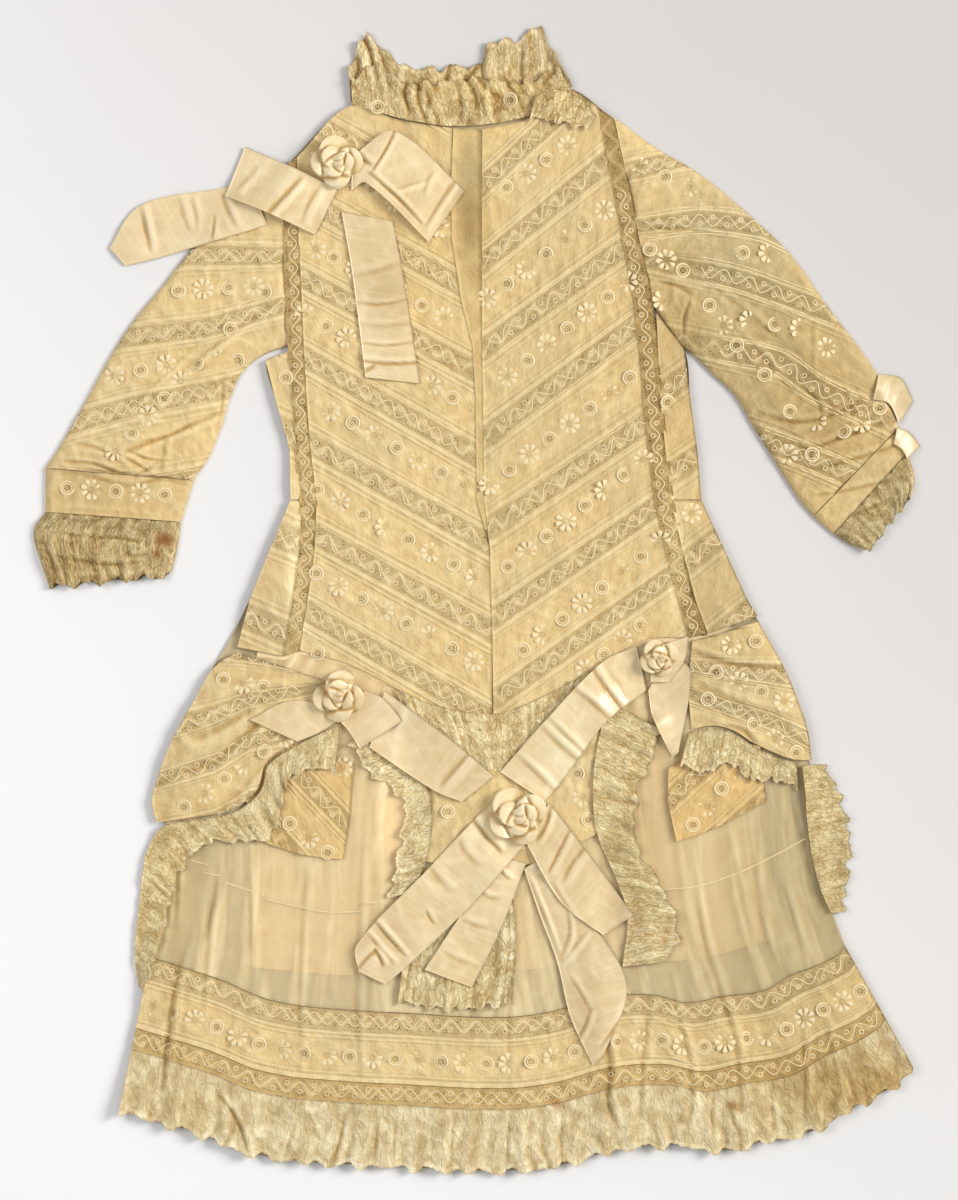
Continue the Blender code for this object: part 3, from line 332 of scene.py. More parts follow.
def patch(top, bottom, left, right):
    """Places on a panel with four curved edges, across from left to right and down from top to bottom."""
    top, bottom, left, right = [
        edge if callable(edge) else curve(edge) for edge in (top, bottom, left, right)
    ]

    def place(u, v):
        a, b, u1, v1 = np.asarray(0.0), np.asarray(1.0), u[..., None], v[..., None]
        upper = top(a) * (1 - u1) + top(b) * u1
        lower = bottom(a) * (1 - u1) + bottom(b) * u1
        straight = upper * (1 - v1) + lower * v1
        across = top(u) * (1 - v1) + bottom(u) * v1
        down = left(v) * (1 - u1) + right(v) * u1
        return across + down - straight

    return place


def run(points):
    """The length of a line from point to point."""
    return np.linalg.norm(np.diff(np.array(points, float), axis=0), axis=1).sum()


def between(edge_a, edge_b):
    """Places on a strip: across from edge a to edge b, and along both of them."""
    line_a, line_b = curve(edge_a), curve(edge_b)
    return lambda u, v: line_a(v) * (1 - u[..., None]) + line_b(v) * u[..., None]


def softened(z, reach_down, reach_across):
    """The grid of heights with its corners rounded off."""
    for axis, reach in ((0, reach_down), (1, reach_across)):
        half = int(math.ceil(2.5 * reach))
        if half < 1:
            continue
        weights = np.exp(-0.5 * (np.arange(-half, half + 1) / reach) ** 2)
        weights /= weights.sum()
        sides = [(half, half) if k == axis else (0, 0) for k in (0, 1)]
        wide = np.pad(z, sides, mode="reflect", reflect_type="odd")
        size = z.shape[axis]
        z = sum(w * np.take(wide, range(k, k + size), axis=axis) for k, w in enumerate(weights))
    return z


def upper_side(node, x, y):
    """The height of the solid's upper side over a grid of places, its gaps filled from their neighbours."""
    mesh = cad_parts[node].data
    corners = [v.co * PER_METRE for v in mesh.vertices]
    tree = BVHTree.FromPolygons(corners, [tuple(p.vertices) for p in mesh.polygons])
    z = np.full(x.size, np.nan)
    for k, (a, b) in enumerate(zip(x.ravel(), y.ravel())):
        hit = tree.ray_cast((a, b, ABOVE), DOWN)[0]
        if hit is not None:
            z[k] = hit.z
    z = z.reshape(x.shape)
    while np.isnan(z).any():
        wide = np.pad(z, 1, constant_values=np.nan)
        near = np.stack([wide[:-2, 1:-1], wide[2:, 1:-1], wide[1:-1, :-2], wide[1:-1, 2:]])
        known = (~np.isnan(near)).sum(0)
        mean = np.nansum(near, axis=0) / np.maximum(known, 1)
        z = np.where(np.isnan(z) & (known > 0), mean, z)
    return z


def creased(x, y, creases):
    """Soft folds placed one by one: a trough along each line and a ridge on its left, with their width."""
    total = np.zeros_like(x)
    for points, rise, depth, width in creases:
        line = curve(points)(np.linspace(0.0, 1.0, 4 * len(points)))
        best = np.full(x.shape, 1e9)
        side = np.zeros_like(x)
        share = np.zeros_like(x)
        for k, (a, b) in enumerate(zip(line, line[1:])):
            step = b - a
            t = ((x - a[0]) * step[0] + (y - a[1]) * step[1]) / (step @ step)
            held = np.clip(t, 0.0, 1.0)
            dx, dy = x - a[0] - held * step[0], y - a[1] - held * step[1]
            away = np.hypot(dx, dy)
            nearer = away < best
            best = np.where(nearer, away, best)
            turn = (step[0] * dy - step[1] * dx) / np.linalg.norm(step)
            side = np.where(nearer, turn, side)
            share = np.where(nearer, (k + t) / (len(line) - 1), share)
        side = np.sign(side) * best
        fade = np.sin(math.pi * np.clip(share, 0.0, 1.0)) ** 0.6
        total += fade * rise * np.exp(-(((side - 1.3 * width) / (1.2 * width)) ** 2))
        total -= fade * depth * np.exp(-((side / (0.7 * width)) ** 2))
    return total


def rippled(x, y, seed, size, depth):
    """Uneven soft waves and small sharp wrinkles, as in cloth that has lain folded."""
    rule = np.random.default_rng(seed)
    total = np.zeros_like(x)
    for _ in range(10):
        turn, shift, bend = rule.uniform(0, 2 * math.pi, 3)
        length = size * rule.uniform(0.5, 1.9)
        along = x * math.cos(turn) + y * math.sin(turn)
        beside = y * math.cos(turn) - x * math.sin(turn)
        phase = along * math.pi / length + shift + 0.9 * np.sin(beside * 2 * math.pi / (length * 2.3) + bend)
        strong = 0.5 + 0.5 * np.sin(beside * 2 * math.pi / (length * 3.1) + 2.0 * bend)
        total += strong * ((1.0 - np.abs(np.sin(phase))) ** 2 - 0.25)
    return depth * total


# Painted shade in the hollows of folds, and painted light on their ridges:
FOLD_SHADE = np.array((0.11, 0.15, 0.22))  # how much darker a fold is in red, green and blue


def tints(x, y, tone, wear_and_shade):
    """The colour of the cloth at each place: its own tone, with painted shade in its folds, and the marks of
    the table of stains and painted shade.
    """
    colour = np.ones(x.shape + (4,))
    colour[..., :3] = np.asarray(tone) * (1.0 + np.clip(wear_and_shade, -3.0, 1.0)[..., None] * FOLD_SHADE)
    for mx, my, wide, tall, red, green, blue, strength in STAIN_AND_SHADE_MARKS:
        share = strength * np.exp(-(((x - mx) / wide) ** 2) - ((y - my) / tall) ** 2)[..., None]
        colour[..., :3] *= 1 - share + share * np.array((red, green, blue))
    return colour


def shell(name, top, low, mapping, tone, finish, wear_and_shade=0.0, wrapped=False):
    """A closed thin shell of cloth from two grids of points, its upper side and its under side."""
    rows, columns = top.shape[:2]
    count = rows * columns
    index = np.arange(count).reshape(rows, columns)
    if wrapped:
        index = np.concatenate([index, index[:, :1]], axis=1)
    quads = np.stack([index[:-1, :-1], index[1:, :-1], index[1:, 1:], index[:-1, 1:]], axis=-1).reshape(-1, 4)
    spots = top.reshape(-1, 3)
    a, b = spots[quads[:, 1]] - spots[quads[:, 0]], spots[quads[:, 3]] - spots[quads[:, 0]]
    facing = np.cross(a, b)[:, 2]
    outward = facing.sum()
    if wrapped:
        middles = np.repeat(top.mean(axis=1)[:-1], columns, axis=0)
        outward = (np.cross(a, b) * (spots[quads[:, 0]] - middles)).sum()
    if outward < 0:
        quads = quads[:, ::-1]
    faces = [quads, quads[:, ::-1] + count]
    edges = [index[0], index[-1][::-1]] if wrapped else [
        np.concatenate([index[0, :-1], index[:-1, -1], index[-1, :0:-1], index[::-1, 0]])
    ]
    for edge in edges:
        rim = np.stack([edge[:-1], edge[1:], edge[1:] + count, edge[:-1] + count], axis=-1)
        faces.append(rim if outward < 0 else rim[:, ::-1])
    mesh = bpy.data.meshes.new(name)
    both = np.concatenate([spots, low.reshape(-1, 3)]) * MM
    mesh.from_pydata(both.tolist(), [], np.concatenate(faces).tolist())
    corner = np.empty(len(mesh.loops), np.int32)
    mesh.loops.foreach_get("vertex_index", corner)
    flat_map = np.concatenate([mapping.reshape(-1, 2)] * 2)[corner]
    mesh.uv_layers.new(name="cloth").data.foreach_set("uv", flat_map.ravel().astype(np.float32))
    wear_and_shade = wear_and_shade + np.zeros_like(top[..., 0])
    colour = np.concatenate([tints(top[..., 0], top[..., 1], tone, wear_and_shade).reshape(-1, 4)] * 2)
    mesh.attributes.new("tint", "FLOAT_COLOR", "POINT").data.foreach_set(
        "color", colour.ravel().astype(np.float32),
    )
    mesh.materials.append(finish.made)
    mesh.shade_smooth()
    made = bpy.data.objects.new(name, mesh)
    bpy.context.scene.collection.objects.link(made)
    TOPS[made.name] = BVHTree.FromPolygons(spots.tolist(), quads.tolist())
    return made


TOPS = {}  # the upper side of each finished piece, to set embroidery on
SPANS = {}  # the width and length of each finished piece, measured along it in millimetres
THICK = 0.5  # of most of the cloth
REACH = 4.0  # how far round a place its folds are compared with
FOLD_SHADE_DEPTH = 0.42  # the height of a fold that takes the whole of its shade
BAND_STEP = 50.0  # from one insertion to the next on the cloth's own map
NARROWEST = 0.011  # metres: the least that a sheet's flat size is taken as
LAPPED, LAP_MOST = 0.35, 0.8  # of a piece over others: its height above them, and the most its folds add


def span(grid, axis):
    """The mean length of the grid's lines one way, measured along the cloth."""
    return np.linalg.norm(np.diff(grid, axis=axis), axis=-1).sum(axis).mean()


def plain_map(x, y, u, v):
    """The cloth's own map where no band crosses it: millimetres along and across."""
    return x, y + BAND_STEP / 2


def cloth(
    node, place, step, finish, mapping=plain_map, creases=(), ripple=0.4, soft=4.0, thick=THICK, tone=1.0,
    extra=None, shade_depth=FOLD_SHADE_DEPTH, over=(),
):
    """A panel as a fine grid on the upper side of its solid, softened, with its own creases and ripples."""
    edge = np.linspace(0.0, 1.0, 40)
    middle = np.full(40, 0.5)
    across, down = run(place(edge, middle)), run(place(middle, edge))
    columns = max(3, math.ceil(across / step[0]))
    rows = max(3, math.ceil(down / step[1]))
    u, v = np.meshgrid(np.linspace(0.0, 1.0, columns + 1), np.linspace(0.0, 1.0, rows + 1))
    flat = place(u, v)
    x, y = flat[..., 0], flat[..., 1]
    z = softened(upper_side(node, x, y), soft * rows / down, soft * columns / across)
    relief = creased(x, y, creases) + rippled(x, y, len(node) + 7, 17.0, ripple)
    if extra is not None:
        relief = relief + extra(u, v)
    # Painted shade: the tint darkens where the cloth lies lower than its surroundings and lightens on its
    # ridges.
    wear_and_shade = (relief - softened(relief, REACH * rows / down, REACH * columns / across)) / shade_depth
    z = z + relief
    if over:
        below = [on_top(over, a, b) for a, b in zip(x.ravel(), y.ravel())]
        floor = np.array([-9.0 if found is None else found[0] + LAPPED for found in below]).reshape(x.shape)
        z = np.maximum(z, floor + np.clip(0.35 * relief, 0.0, LAP_MOST))
    top = np.stack([x, y, z], axis=-1)
    low = np.stack([x, y, z - thick], axis=-1)
    made = shell(node + "_cloth", top, low, np.stack(mapping(x, y, u, v), axis=-1), tone, finish, wear_and_shade)
    SPANS[made.name] = span(top, 1), span(top, 0)
    return made


def sewn(piece, node):
    """Hangs the piece under the root and hides its solid; its flat size is worked out but not used."""
    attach(piece, "root")
    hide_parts(node)
    flat = tuple(max(round(s * MM, 3), NARROWEST) for s in SPANS[piece.name])


def sheer(name, colour, alpha):
    """Fine plain muslin: soft upright streaks where it lies double, with the light coming through."""
    made = Finish(name, Roughness=0.9)
    along, across = made.mapped()
    folds = made.noise(made.vector(along * 0.055, across * 0.006), 1.0, 3.0, 0.55)
    threads = made.noise(made.vector(along * 0.5, across * 0.04), 1.0, 2.0)
    streaks = folds.ramp(0.46, 0.62)
    share = streaks * 0.8 + threads * 0.2
    shade = made.blend(share, [c * 0.93 for c in colour] + [1], [c * 1.04 for c in colour] + [1])
    made.feed(Base_Color=made.tinted(shade), Alpha=alpha + streaks * 0.26 + threads * 0.04 - 0.04)
    made.relief(folds * 1.6 + threads * 0.08)
    return made


back_muslin = sheer("back muslin", (0.66, 0.53, 0.31), 0.93)
top = (
    (-127.7, 285.7), (-84.4, 326.6), (-54.7, 321.3), (1.4, 318.7), (54.2, 327.9), (62.7, 337.2),
    (88.8, 318.0),
)
bottom = ((-123.4, 66.8), (14.6, 66.8), (147.2, 66.8))
left = (
    (-127.7, 285.7), (-123.7, 165.9), (-139.2, 158.3), (-133.3, 132.6), (-126.7, 112.8), (-123.4, 93.0),
    (-123.4, 66.8),
)
right = (
    (88.8, 318.0), (113.9, 193.3), (136.0, 166.2), (140.0, 132.6), (142.6, 112.8), (145.2, 93.0),
    (147.2, 66.8),
)
back = cloth("back_bodice", patch(top, bottom, left, right), (5, 5), back_muslin, ripple=0.0, thick=0.7)
sewn(back, "back_bodice")

HEM = (
    (-236.2, -336.0), (-209.8, -343.3), (-183.4, -351.2), (-150.4, -363.7), (-117.4, -369.0), (-51.4, -373.0),
    (14.6, -375.6), (54.2, -371.7), (93.8, -361.1), (133.4, -358.5), (159.8, -362.4), (186.2, -356.5),
    (219.2, -349.9), (245.6, -334.7), (265.4, -324.8), (281.9, -313.6), (286.5, -307.0),
)
# Heights above the hem's edge: where one band ends and the next one starts, and the
# middle lines of the two insertions and of the embroidered row between them
MUSLIN_END, BAND_START, BAND_END, LACE_START = 101.6, 87.8, 54.8, 40.9
UPPER_MIDDLE, LOWER_MIDDLE, ROW_MIDDLE, MIDDLES_APART = 94.7, 47.9, 71.0, 46.8
SEAM = 0.35
HEM_LENGTH = 560.0
hem_line = curve(HEM)


def hem_point(u, up):
    """A place on the skirt by its share across the hem and its height above the hem's edge."""
    spot = hem_line(u)
    lean = 0.2 * (1.0 - u) ** 3 - 0.56 * u**3
    height = up * (1.0 - 0.22 * u**6)
    return np.stack([spot[..., 0] + lean * height, spot[..., 1] + height], axis=-1)


def hem_line_at(up):
    return lambda u: hem_point(u, up)


top = ((-123.4, 66.2), (14.6, 66.2), (147.2, 66.2))
left = (
    (-123.4, 66.2), (-137.2, 33.6), (-157.0, -12.6), (-186.7, -65.4), (-204.6, -105.0), (-205.9, -157.8),
    (-209.8, -197.4), (-215.1, -233.1), (-219.4, -327.7),
)
right = (
    (147.2, 66.2), (162.4, 33.6), (184.2, -12.6), (210.6, -65.4), (218.5, -105.0), (220.5, -144.6),
    (224.4, -177.6), (242.9, -229.8), (267.9, -275.1),
)
hem_top = hem_line_at(LACE_START + 3 * SEAM)
left = left[:-1] + (tuple(hem_top(np.asarray(0.0))),)
right = right[:-1] + (tuple(hem_top(np.asarray(1.0))),)
back = cloth("back_skirt", patch(top, hem_top, left, right), (6, 6), back_muslin, ripple=0.0, thick=0.7)
sewn(back, "back_skirt")


# The gathered lace round the hem of the back: the same bobbin lace as the front's,
# sewn to the back skirt and lying flat under the front's, so that only its net is seen.
def gathers(count, depth, start=0.15, seed=1):
    """Folds of gathered lace, uneven in depth and width, growing from the seam to the free edge."""
    a, b, c = np.random.default_rng(seed).uniform(0.0, 2.0 * math.pi, 3)

    def lift(u, v):
        phase = count * u + 0.35 * np.sin(2.3 * count * u + a) + 0.3 * v * np.sin(6.0 * v + 9.0 * u + b)
        fold = np.abs(np.sin(math.pi * phase)) ** 0.8
        uneven = 0.6 + 0.4 * np.sin(1.45 * count * u + c)
        return depth * (fold * uneven - 0.4) * (start + (1.0 - start) * np.clip(v, 0.0, 1.0))

    return lift


POINTS_A_GATHER = 3


def scalloped(place, count, depth):
    """The same places, with a wavy free edge that follows the gathers and small points of its own."""

    def out(u, v):
        free = place(u, v)
        seam = place(u, np.zeros_like(u))
        away = free - seam
        long = np.maximum(np.linalg.norm(away, axis=-1), 1.0)
        tips = 0.8 * np.abs(np.sin(math.pi * count * POINTS_A_GATHER * u)) + 0.35 * np.sin(31.0 * count * u)
        tips = tips + 0.9 * np.sin(4.1 * count * u + 1.0) + 0.7 * np.sin(9.7 * count * u + 2.0)
        step = (depth * np.cos(2.0 * math.pi * count * u) + tips) * np.clip(v - 0.5, 0.0, 0.5) * 2.0
        return free + away * (step / long)[..., None]

    return out


def turned(place):
    """The same strip with its length across the grid and its depth down it."""
    return lambda u, v: place(v, u)


def bobbin_lace(name, light, dark, repeat, deep, alpha, bold):
    """Machine-made bobbin lace: a fine net with leaves of clothwork in corded outlines and a firm edge."""
    made = Finish(name, Roughness=0.9)
    along, across = made.mapped()
    spot = made.vector(along, across)
    drift = made.noise(spot, 0.1, 2.0) - 0.5
    sway = made.noise(made.vector(across, along), 0.13, 2.0) - 0.5
    bent = made.vector(along + drift * 12.0, across * 0.8 + sway * 9.0)
    leaves = made.net(bent, 3.4 / repeat, 0.9)
    outline = leaves.hill(0.17, 0.06)
    clothwork = leaves.ramp(0.2, 0.28) * (1.0 - leaves.ramp(0.4, 0.46))
    cell = made.fraction((along + drift * 12.0) / repeat)
    x = (cell - 0.5) * repeat
    y = across + sway * 6.0 - deep * 0.56
    near = made.node("Math", {"operation": "SQRT"}, {0: x * x + y * y * 1.3})
    dense = outline.calc("MAXIMUM", outline, near.hill(repeat * 0.2, 1.0) * 0.8)
    border = across.hill(deep * 0.95, 1.2)
    strand = made.net(spot, 0.8).ramp(0.2, 0.04)
    grain = made.noise(spot, 1.1, 2.0)
    cloudy = made.noise(spot, 0.06, 4.0, 0.65).ramp(0.36, 0.64)
    leafy = dense + clothwork * 0.45 - 0.4
    share = cloudy * 0.5 + leafy * (bold * 1.3) + strand * 0.14 + grain * 0.25 + border * 0.25 + 0.05
    colour = made.blend(share, list(dark) + [1], list(light) + [1])
    made.feed(Base_Color=made.tinted(colour), Alpha=alpha + share * (1.0 - alpha))
    made.relief(dense * 0.36 + clothwork * 0.12 + strand * 0.1 + made.crumple(spot) * 0.7)
    return made


def lace_map(repeat_length, deep):
    """Millimetres along the gathered lace, with the fullness taken up, and down from its seam."""
    return lambda x, y, u, v: (u * repeat_length, v * deep)


hem_net = bobbin_lace("hem lace", (1.0, 0.88, 0.57), (0.66, 0.46, 0.19), 36.0, 41.0, 0.78, 0.16)
back = cloth(
    "hem_lace_back", lambda u, v: hem_point(u, LACE_START - SEAM / 2 - (LACE_START - SEAM / 2) * v),
    (3, 3), hem_net, lace_map(820.0, 41.0), ripple=0.0, soft=2.0,
)
sewn(back, "hem_lace_back")


# The lining: one plain panel of thin peach cotton behind the front, from the neck to
# a little above the hem bands. Its straight lower edge shows through the sheer skirt.
lining_finish = Finish("peach cotton", Roughness=0.85)
along, across = lining_finish.mapped()
slubs = lining_finish.noise(lining_finish.vector(along * 0.5, across * 0.06), 1.0, 3.0)
lining_colour = lining_finish.blend(slubs, (0.95, 0.71, 0.37, 1), (0.98, 0.78, 0.45, 1))
lining_finish.feed(Base_Color=lining_finish.tinted(lining_colour))
lining_finish.relief(slubs * 0.15 + along.wave(0.8) * 0.03 + across.wave(0.8) * 0.03)
top = ((-117.4, 280.4), (-83.1, 318.7), (-51.4, 312.1), (1.4, 308.1), (54.2, 322.7), (77.9, 313.4))
bottom = (
    (-149.1, -241.6), (-84.4, -246.9), (21.2, -243.6), (107.0, -238.3), (146.6, -235.7), (196.1, -222.5),
)
left = ((-117.4, 280.4), (-115.5, 168.9), (-117.4, 66.6), (-139.9, 0.6), (-147.8, -65.4), (-149.1, -241.6))
right = (
    (77.9, 313.4), (103.0, 198.6), (128.1, 119.4), (140.0, 60.0), (165.0, 0.6), (178.2, -65.4),
    (182.9, -138.0), (196.1, -222.5),
)
lining = cloth("lining_front", patch(top, bottom, left, right), (6, 6), lining_finish, ripple=0.1)
sewn(lining, "lining_front")


# The two fronts of the bodice: fine batiste run with pin tucks, with bands of lace
# insertion let in slantwise between rows of embroidery, so that they meet in chevrons.
# The wheels, daisies, cords and tucks are raised threads, worked on the cloth.
BODICE = (
    # height, then the two sides of the left insertion, of the placket and of the right insertion
    (271.2, -128.0, -119.4, -17.8, 2.7, 89.1, 98.7),
    (238.2, -126.7, -118.1, -17.1, 2.7, 95.1, 105.3),
    (198.6, -125.0, -116.1, -11.2, 2.7, 102.3, 113.6),
    (168.9, -123.7, -114.8, -3.6, 2.7, 105.6, 116.9),
    (132.6, -122.1, -112.8, -1.3, 3.3, 108.9, 120.2),
    (99.6, -119.4, -110.2, -1.1, 3.7, 112.2, 123.5),
    (66.6, -116.1, -106.2, -0.6, 4.0, 116.2, 127.4),
    (33.6, -117.4, -107.5, 8.0, 8.0, 123.5, 134.7),
    (0.6, -122.1, -112.2, 8.9, 8.9, 132.0, 143.3),
    (-22.5, -126.0, -116.1, 9.6, 9.6, 138.6, 149.2),
)
LEFT_OUT, LEFT_IN, PLACKET_LEFT, PLACKET_RIGHT, RIGHT_IN, RIGHT_OUT = range(1, 7)
WAVE_PITCH, RING_RADIUS = 18.0, 1.5  # of the cord in an insertion: one whole wave, and its small rings
TUCKS = (-8.9, -7.0, 7.0, 8.9)  # the rolled edges and pin tucks beside an insertion
FINE = (1.8, 1.8)  # the grid of a panel that carries embroidery

# Middle lines of the slanting insertions, from the neck down
BANDS_LEFT = (
    ((-117.4, 374.1), (-15.1, 318.0)),
    ((-117.4, 320.0), (-15.1, 263.3)),
    ((-117.4, 265.9), (-15.1, 209.1)),
    ((-120.1, 215.1), (-15.1, 158.3)),
    ((-117.4, 162.3), (-15.1, 102.9)),
    ((-109.5, 102.9), (1.4, 40.2)),
    ((-107.5, 43.5), (8.0, -19.9)),
    ((-112.2, -7.3), (8.0, -78.0)),
    ((-112.2, -61.5), (8.0, -132.1)),
)
BANDS_RIGHT = (
    ((4.0, 327.9), (54.2, 371.5)),
    ((4.0, 274.5), (54.2, 322.0)),
    ((4.0, 223.7), (79.2, 285.0)),
    ((8.0, 169.5), (97.7, 234.2)),
    ((14.6, 115.4), (105.6, 183.4)),
    ((23.1, 58.0), (110.3, 116.7)),
    ((14.6, -8.7), (116.9, 62.0)),
    ((14.6, -62.1), (128.1, 17.7)),
    ((14.6, -116.2), (128.1, -36.4)),
)
# Rows of embroidery: first and last motif, how many, and whether the first is a wheel (1) or a daisy (0)
ROWS_LEFT = (
    ((-69.9, 271.2), (-25.0, 246.1), 4, 1),
    ((-104.9, 290.3), (-84.4, 279.8), 3, 0),
    ((-118.8, 238.2), (-106.9, 231.6), 2, 1),
    ((-95.0, 226.3), (-22.4, 186.7), 6, 1),
    ((-114.1, 188.7), (-17.1, 133.9), 8, 0),
    ((-97.0, 125.3), (-9.9, 76.5), 7, 0),
    ((-105.9, 73.2), (-1.3, 15.8), 8, 1),
    ((-106.6, 18.1), (-2.6, -39.7), 8, 1),
    ((-105.6, -34.4), (-92.4, -41.7), 2, 1),
)
ROWS_RIGHT = (
    ((18.5, 272.5), (58.8, 299.6), 4, 1),
    ((6.0, 199.2), (83.2, 257.3), 7, 0),
    ((19.2, 147.8), (98.4, 210.5), 7, 0),
    ((7.3, 76.5), (100.0, 146.8), 8, 0),
    ((19.8, 22.4), (108.9, 93.0), 8, 1),
    ((29.7, -32.4), (120.2, 39.5), 8, 1),
    ((58.8, -54.9), (107.0, -15.9), 5, 1),
)


def seam_rows(left, right, first, last, over_left=0.0, over_right=0.0):
    """Level rows between two seams, with a seam allowance laid over the neighbour where it is asked for."""
    return [
        ((row[left] - over_left, row[0]), (row[right] + over_right, row[0])) for row in BODICE[first:last]
    ]


def row_panel(rows):
    """Places on a panel from level rows of points, left to right and straight down between them."""
    lines = [curve(row) for row in rows]

    def place(u, v):
        spots = np.stack([line(u) for line in lines])
        at = np.clip(v, 0.0, 1.0) * (len(lines) - 1)
        low = np.minimum(at.astype(int), len(lines) - 2)
        share = (at - low)[..., None]
        upper = np.take_along_axis(spots, low[None, ..., None], axis=0)[0]
        under = np.take_along_axis(spots, low[None, ..., None] + 1, axis=0)[0]
        return upper * (1 - share) + under * share

    return place


def line_height(line, x):
    """The height of a slanting line at x, carried on straight past its ends."""
    spots = np.array(line, float)
    inside = np.interp(x, spots[:, 0], spots[:, 1])
    first = (spots[1, 1] - spots[0, 1]) / (spots[1, 0] - spots[0, 0])
    last = (spots[-1, 1] - spots[-2, 1]) / (spots[-1, 0] - spots[-2, 0])
    inside = np.where(x < spots[0, 0], spots[0, 1] + first * (x - spots[0, 0]), inside)
    return np.where(x > spots[-1, 0], spots[-1, 1] + last * (x - spots[-1, 0]), inside)


def banded(lines):
    """The cloth's map along slanting bands: one band step down from each insertion to the next."""

    def mapping(x, y, u, v):
        heights = np.stack([line_height(line, x) for line in lines])
        steps = (heights[:-1] - y) / (heights[:-1] - heights[1:])
        down = np.where(steps[0] < 0, steps[0], 0.0)
        for k in range(len(lines) - 1):
            down = np.where(steps[k] >= 0, k + steps[k], down)
        slope = line_height(lines[1], x + 1.0) - line_height(lines[1], x)
        return x * np.sqrt(1.0 + slope**2), down * BAND_STEP

    return mapping


whitework = Finish("embroidered batiste", Roughness=0.88)
along, across = whitework.mapped()
place = whitework.vector(along, across)
beside = (whitework.fraction(across / BAND_STEP + 0.5) - 0.5) * BAND_STEP
away = beside.calc("ABSOLUTE", beside)
net_mask = away.ramp(7.0, 5.9)
tuck = away.hill(8.9, 1.3)
fold = away.hill(12.6, 0.8) + away.hill(6.9, 0.5) * -0.5
rim = away.hill(10.9, 0.7) + away.hill(14.0, 0.7) * 0.7
strand = whitework.net(place, 0.85).ramp(0.17, 0.05)
dots = away.hill(6.7, 0.5) * (along.wave(1.5) * 0.5 + 0.5)
wavy = (beside - along.wave(WAVE_PITCH) * 3.6).hill(0.0, 1.6)
weave = whitework.noise(whitework.vector(along * 1.2, across * 0.25), 1.0, 3.0)
ground, clouds = whitework.batiste_ground(weave)
holes = whitework.net(place, 0.5, 0.8).ramp(0.12, 0.34) * whitework.noise(place, 0.28, 2.0).ramp(0.42, 0.62)
holes = holes * (1.0 - wavy) * away.hill(3.2, 2.6)
ground = whitework.blend(tuck * 0.35 + fold * 0.2, ground, (0.92, 0.76, 0.43, 1))
# Painted shadow: dark lines beside the tucks.
ground = whitework.blend(rim * 0.3, ground, (0.56, 0.39, 0.17, 1))
lace = whitework.blend(
    strand * 0.35 + wavy * 0.5 + clouds * 0.4, (0.57, 0.39, 0.15, 1), (0.93, 0.73, 0.39, 1),
)
# Painted shade in the net's holes.
lace = whitework.blend(holes * 0.85, lace, (0.26, 0.15, 0.045, 1))
colour = whitework.blend(net_mask, ground, lace)
# Painted shade in the dotted line of small holes at each edge of the insertion.
colour = whitework.blend(dots * 0.4, colour, (0.36, 0.22, 0.07, 1))
whitework.feed(Base_Color=whitework.tinted(colour))
netted = net_mask * (strand * 0.2 + wavy * 0.3 - holes * 0.5 - 0.2)
raised = tuck * 0.4 + fold * 0.25 - rim * 0.15 + netted - dots * 0.2
whitework.relief(raised + weave * 0.12 + whitework.crumple(place))

thread = Finish("cotton thread", Roughness=0.7)
twist = thread.noise(thread.node("TexCoord", output=3), 900.0, 2.0)
thread.feed(Base_Color=thread.blend(twist, (0.79, 0.63, 0.35, 1), (0.92, 0.78, 0.49, 1)))
thread.relief(twist * 0.15)
rolled = Finish("rolled edge", Roughness=0.85)
wear_and_shade = rolled.noise(rolled.node("TexCoord", output=3), 60.0, 3.0)
rolled.feed(Base_Color=rolled.blend(wear_and_shade, (0.74, 0.56, 0.28, 1), (0.92, 0.75, 0.44, 1)))
eyelet = Finish("eyelet shade", Roughness=0.95)
deep = eyelet.noise(eyelet.node("TexCoord", output=3), 700.0)
eyelet.feed(Base_Color=eyelet.blend(deep, (0.16, 0.08, 0.02, 1), (0.30, 0.17, 0.055, 1)))


def node_tree(name, inputs):
    """An empty node tree for a modifier, with its named inputs."""
    made = bpy.data.node_groups.new(name, "GeometryNodeTree")
    made.interface.new_socket("Geometry", in_out="INPUT", socket_type="NodeSocketGeometry")
    for label, kind in inputs:
        made.interface.new_socket(label, in_out="INPUT", socket_type="NodeSocket" + kind)
    made.interface.new_socket("Geometry", in_out="OUTPUT", socket_type="NodeSocketGeometry")
    return made, made.nodes.new("NodeGroupInput"), made.nodes.new("NodeGroupOutput")


def put(made, kind, settings=None, links=None):
    """Adds a node to a tree, with its settings, values and links."""
    step = made.nodes.new(kind)
    for key, value in (settings or {}).items():
        setattr(step, key, value)
    for key, value in (links or {}).items():
        if isinstance(value, bpy.types.NodeSocket):
            made.links.new(value, step.inputs[key])
        else:
            step.inputs[key].default_value = value
    return step


def grown(name, mesh, made, **values):
    """Runs a node tree on a mesh once and keeps the plain mesh that it gives."""
    holder = bpy.data.objects.new(name, mesh)
    bpy.context.scene.collection.objects.link(holder)
    modifier = holder.modifiers.new("grow", "NODES")
    modifier.node_group = made
    for socket in made.interface.items_tree:
        if socket.item_type == "SOCKET" and socket.in_out == "INPUT" and socket.name in values:
            modifier[socket.identifier] = values[socket.name]
    bpy.context.view_layer.update()
    data = bpy.data.meshes.new_from_object(holder.evaluated_get(bpy.context.evaluated_depsgraph_get()))
    holder.modifiers.clear()
    holder.data = data
    data.shade_smooth()
    return holder


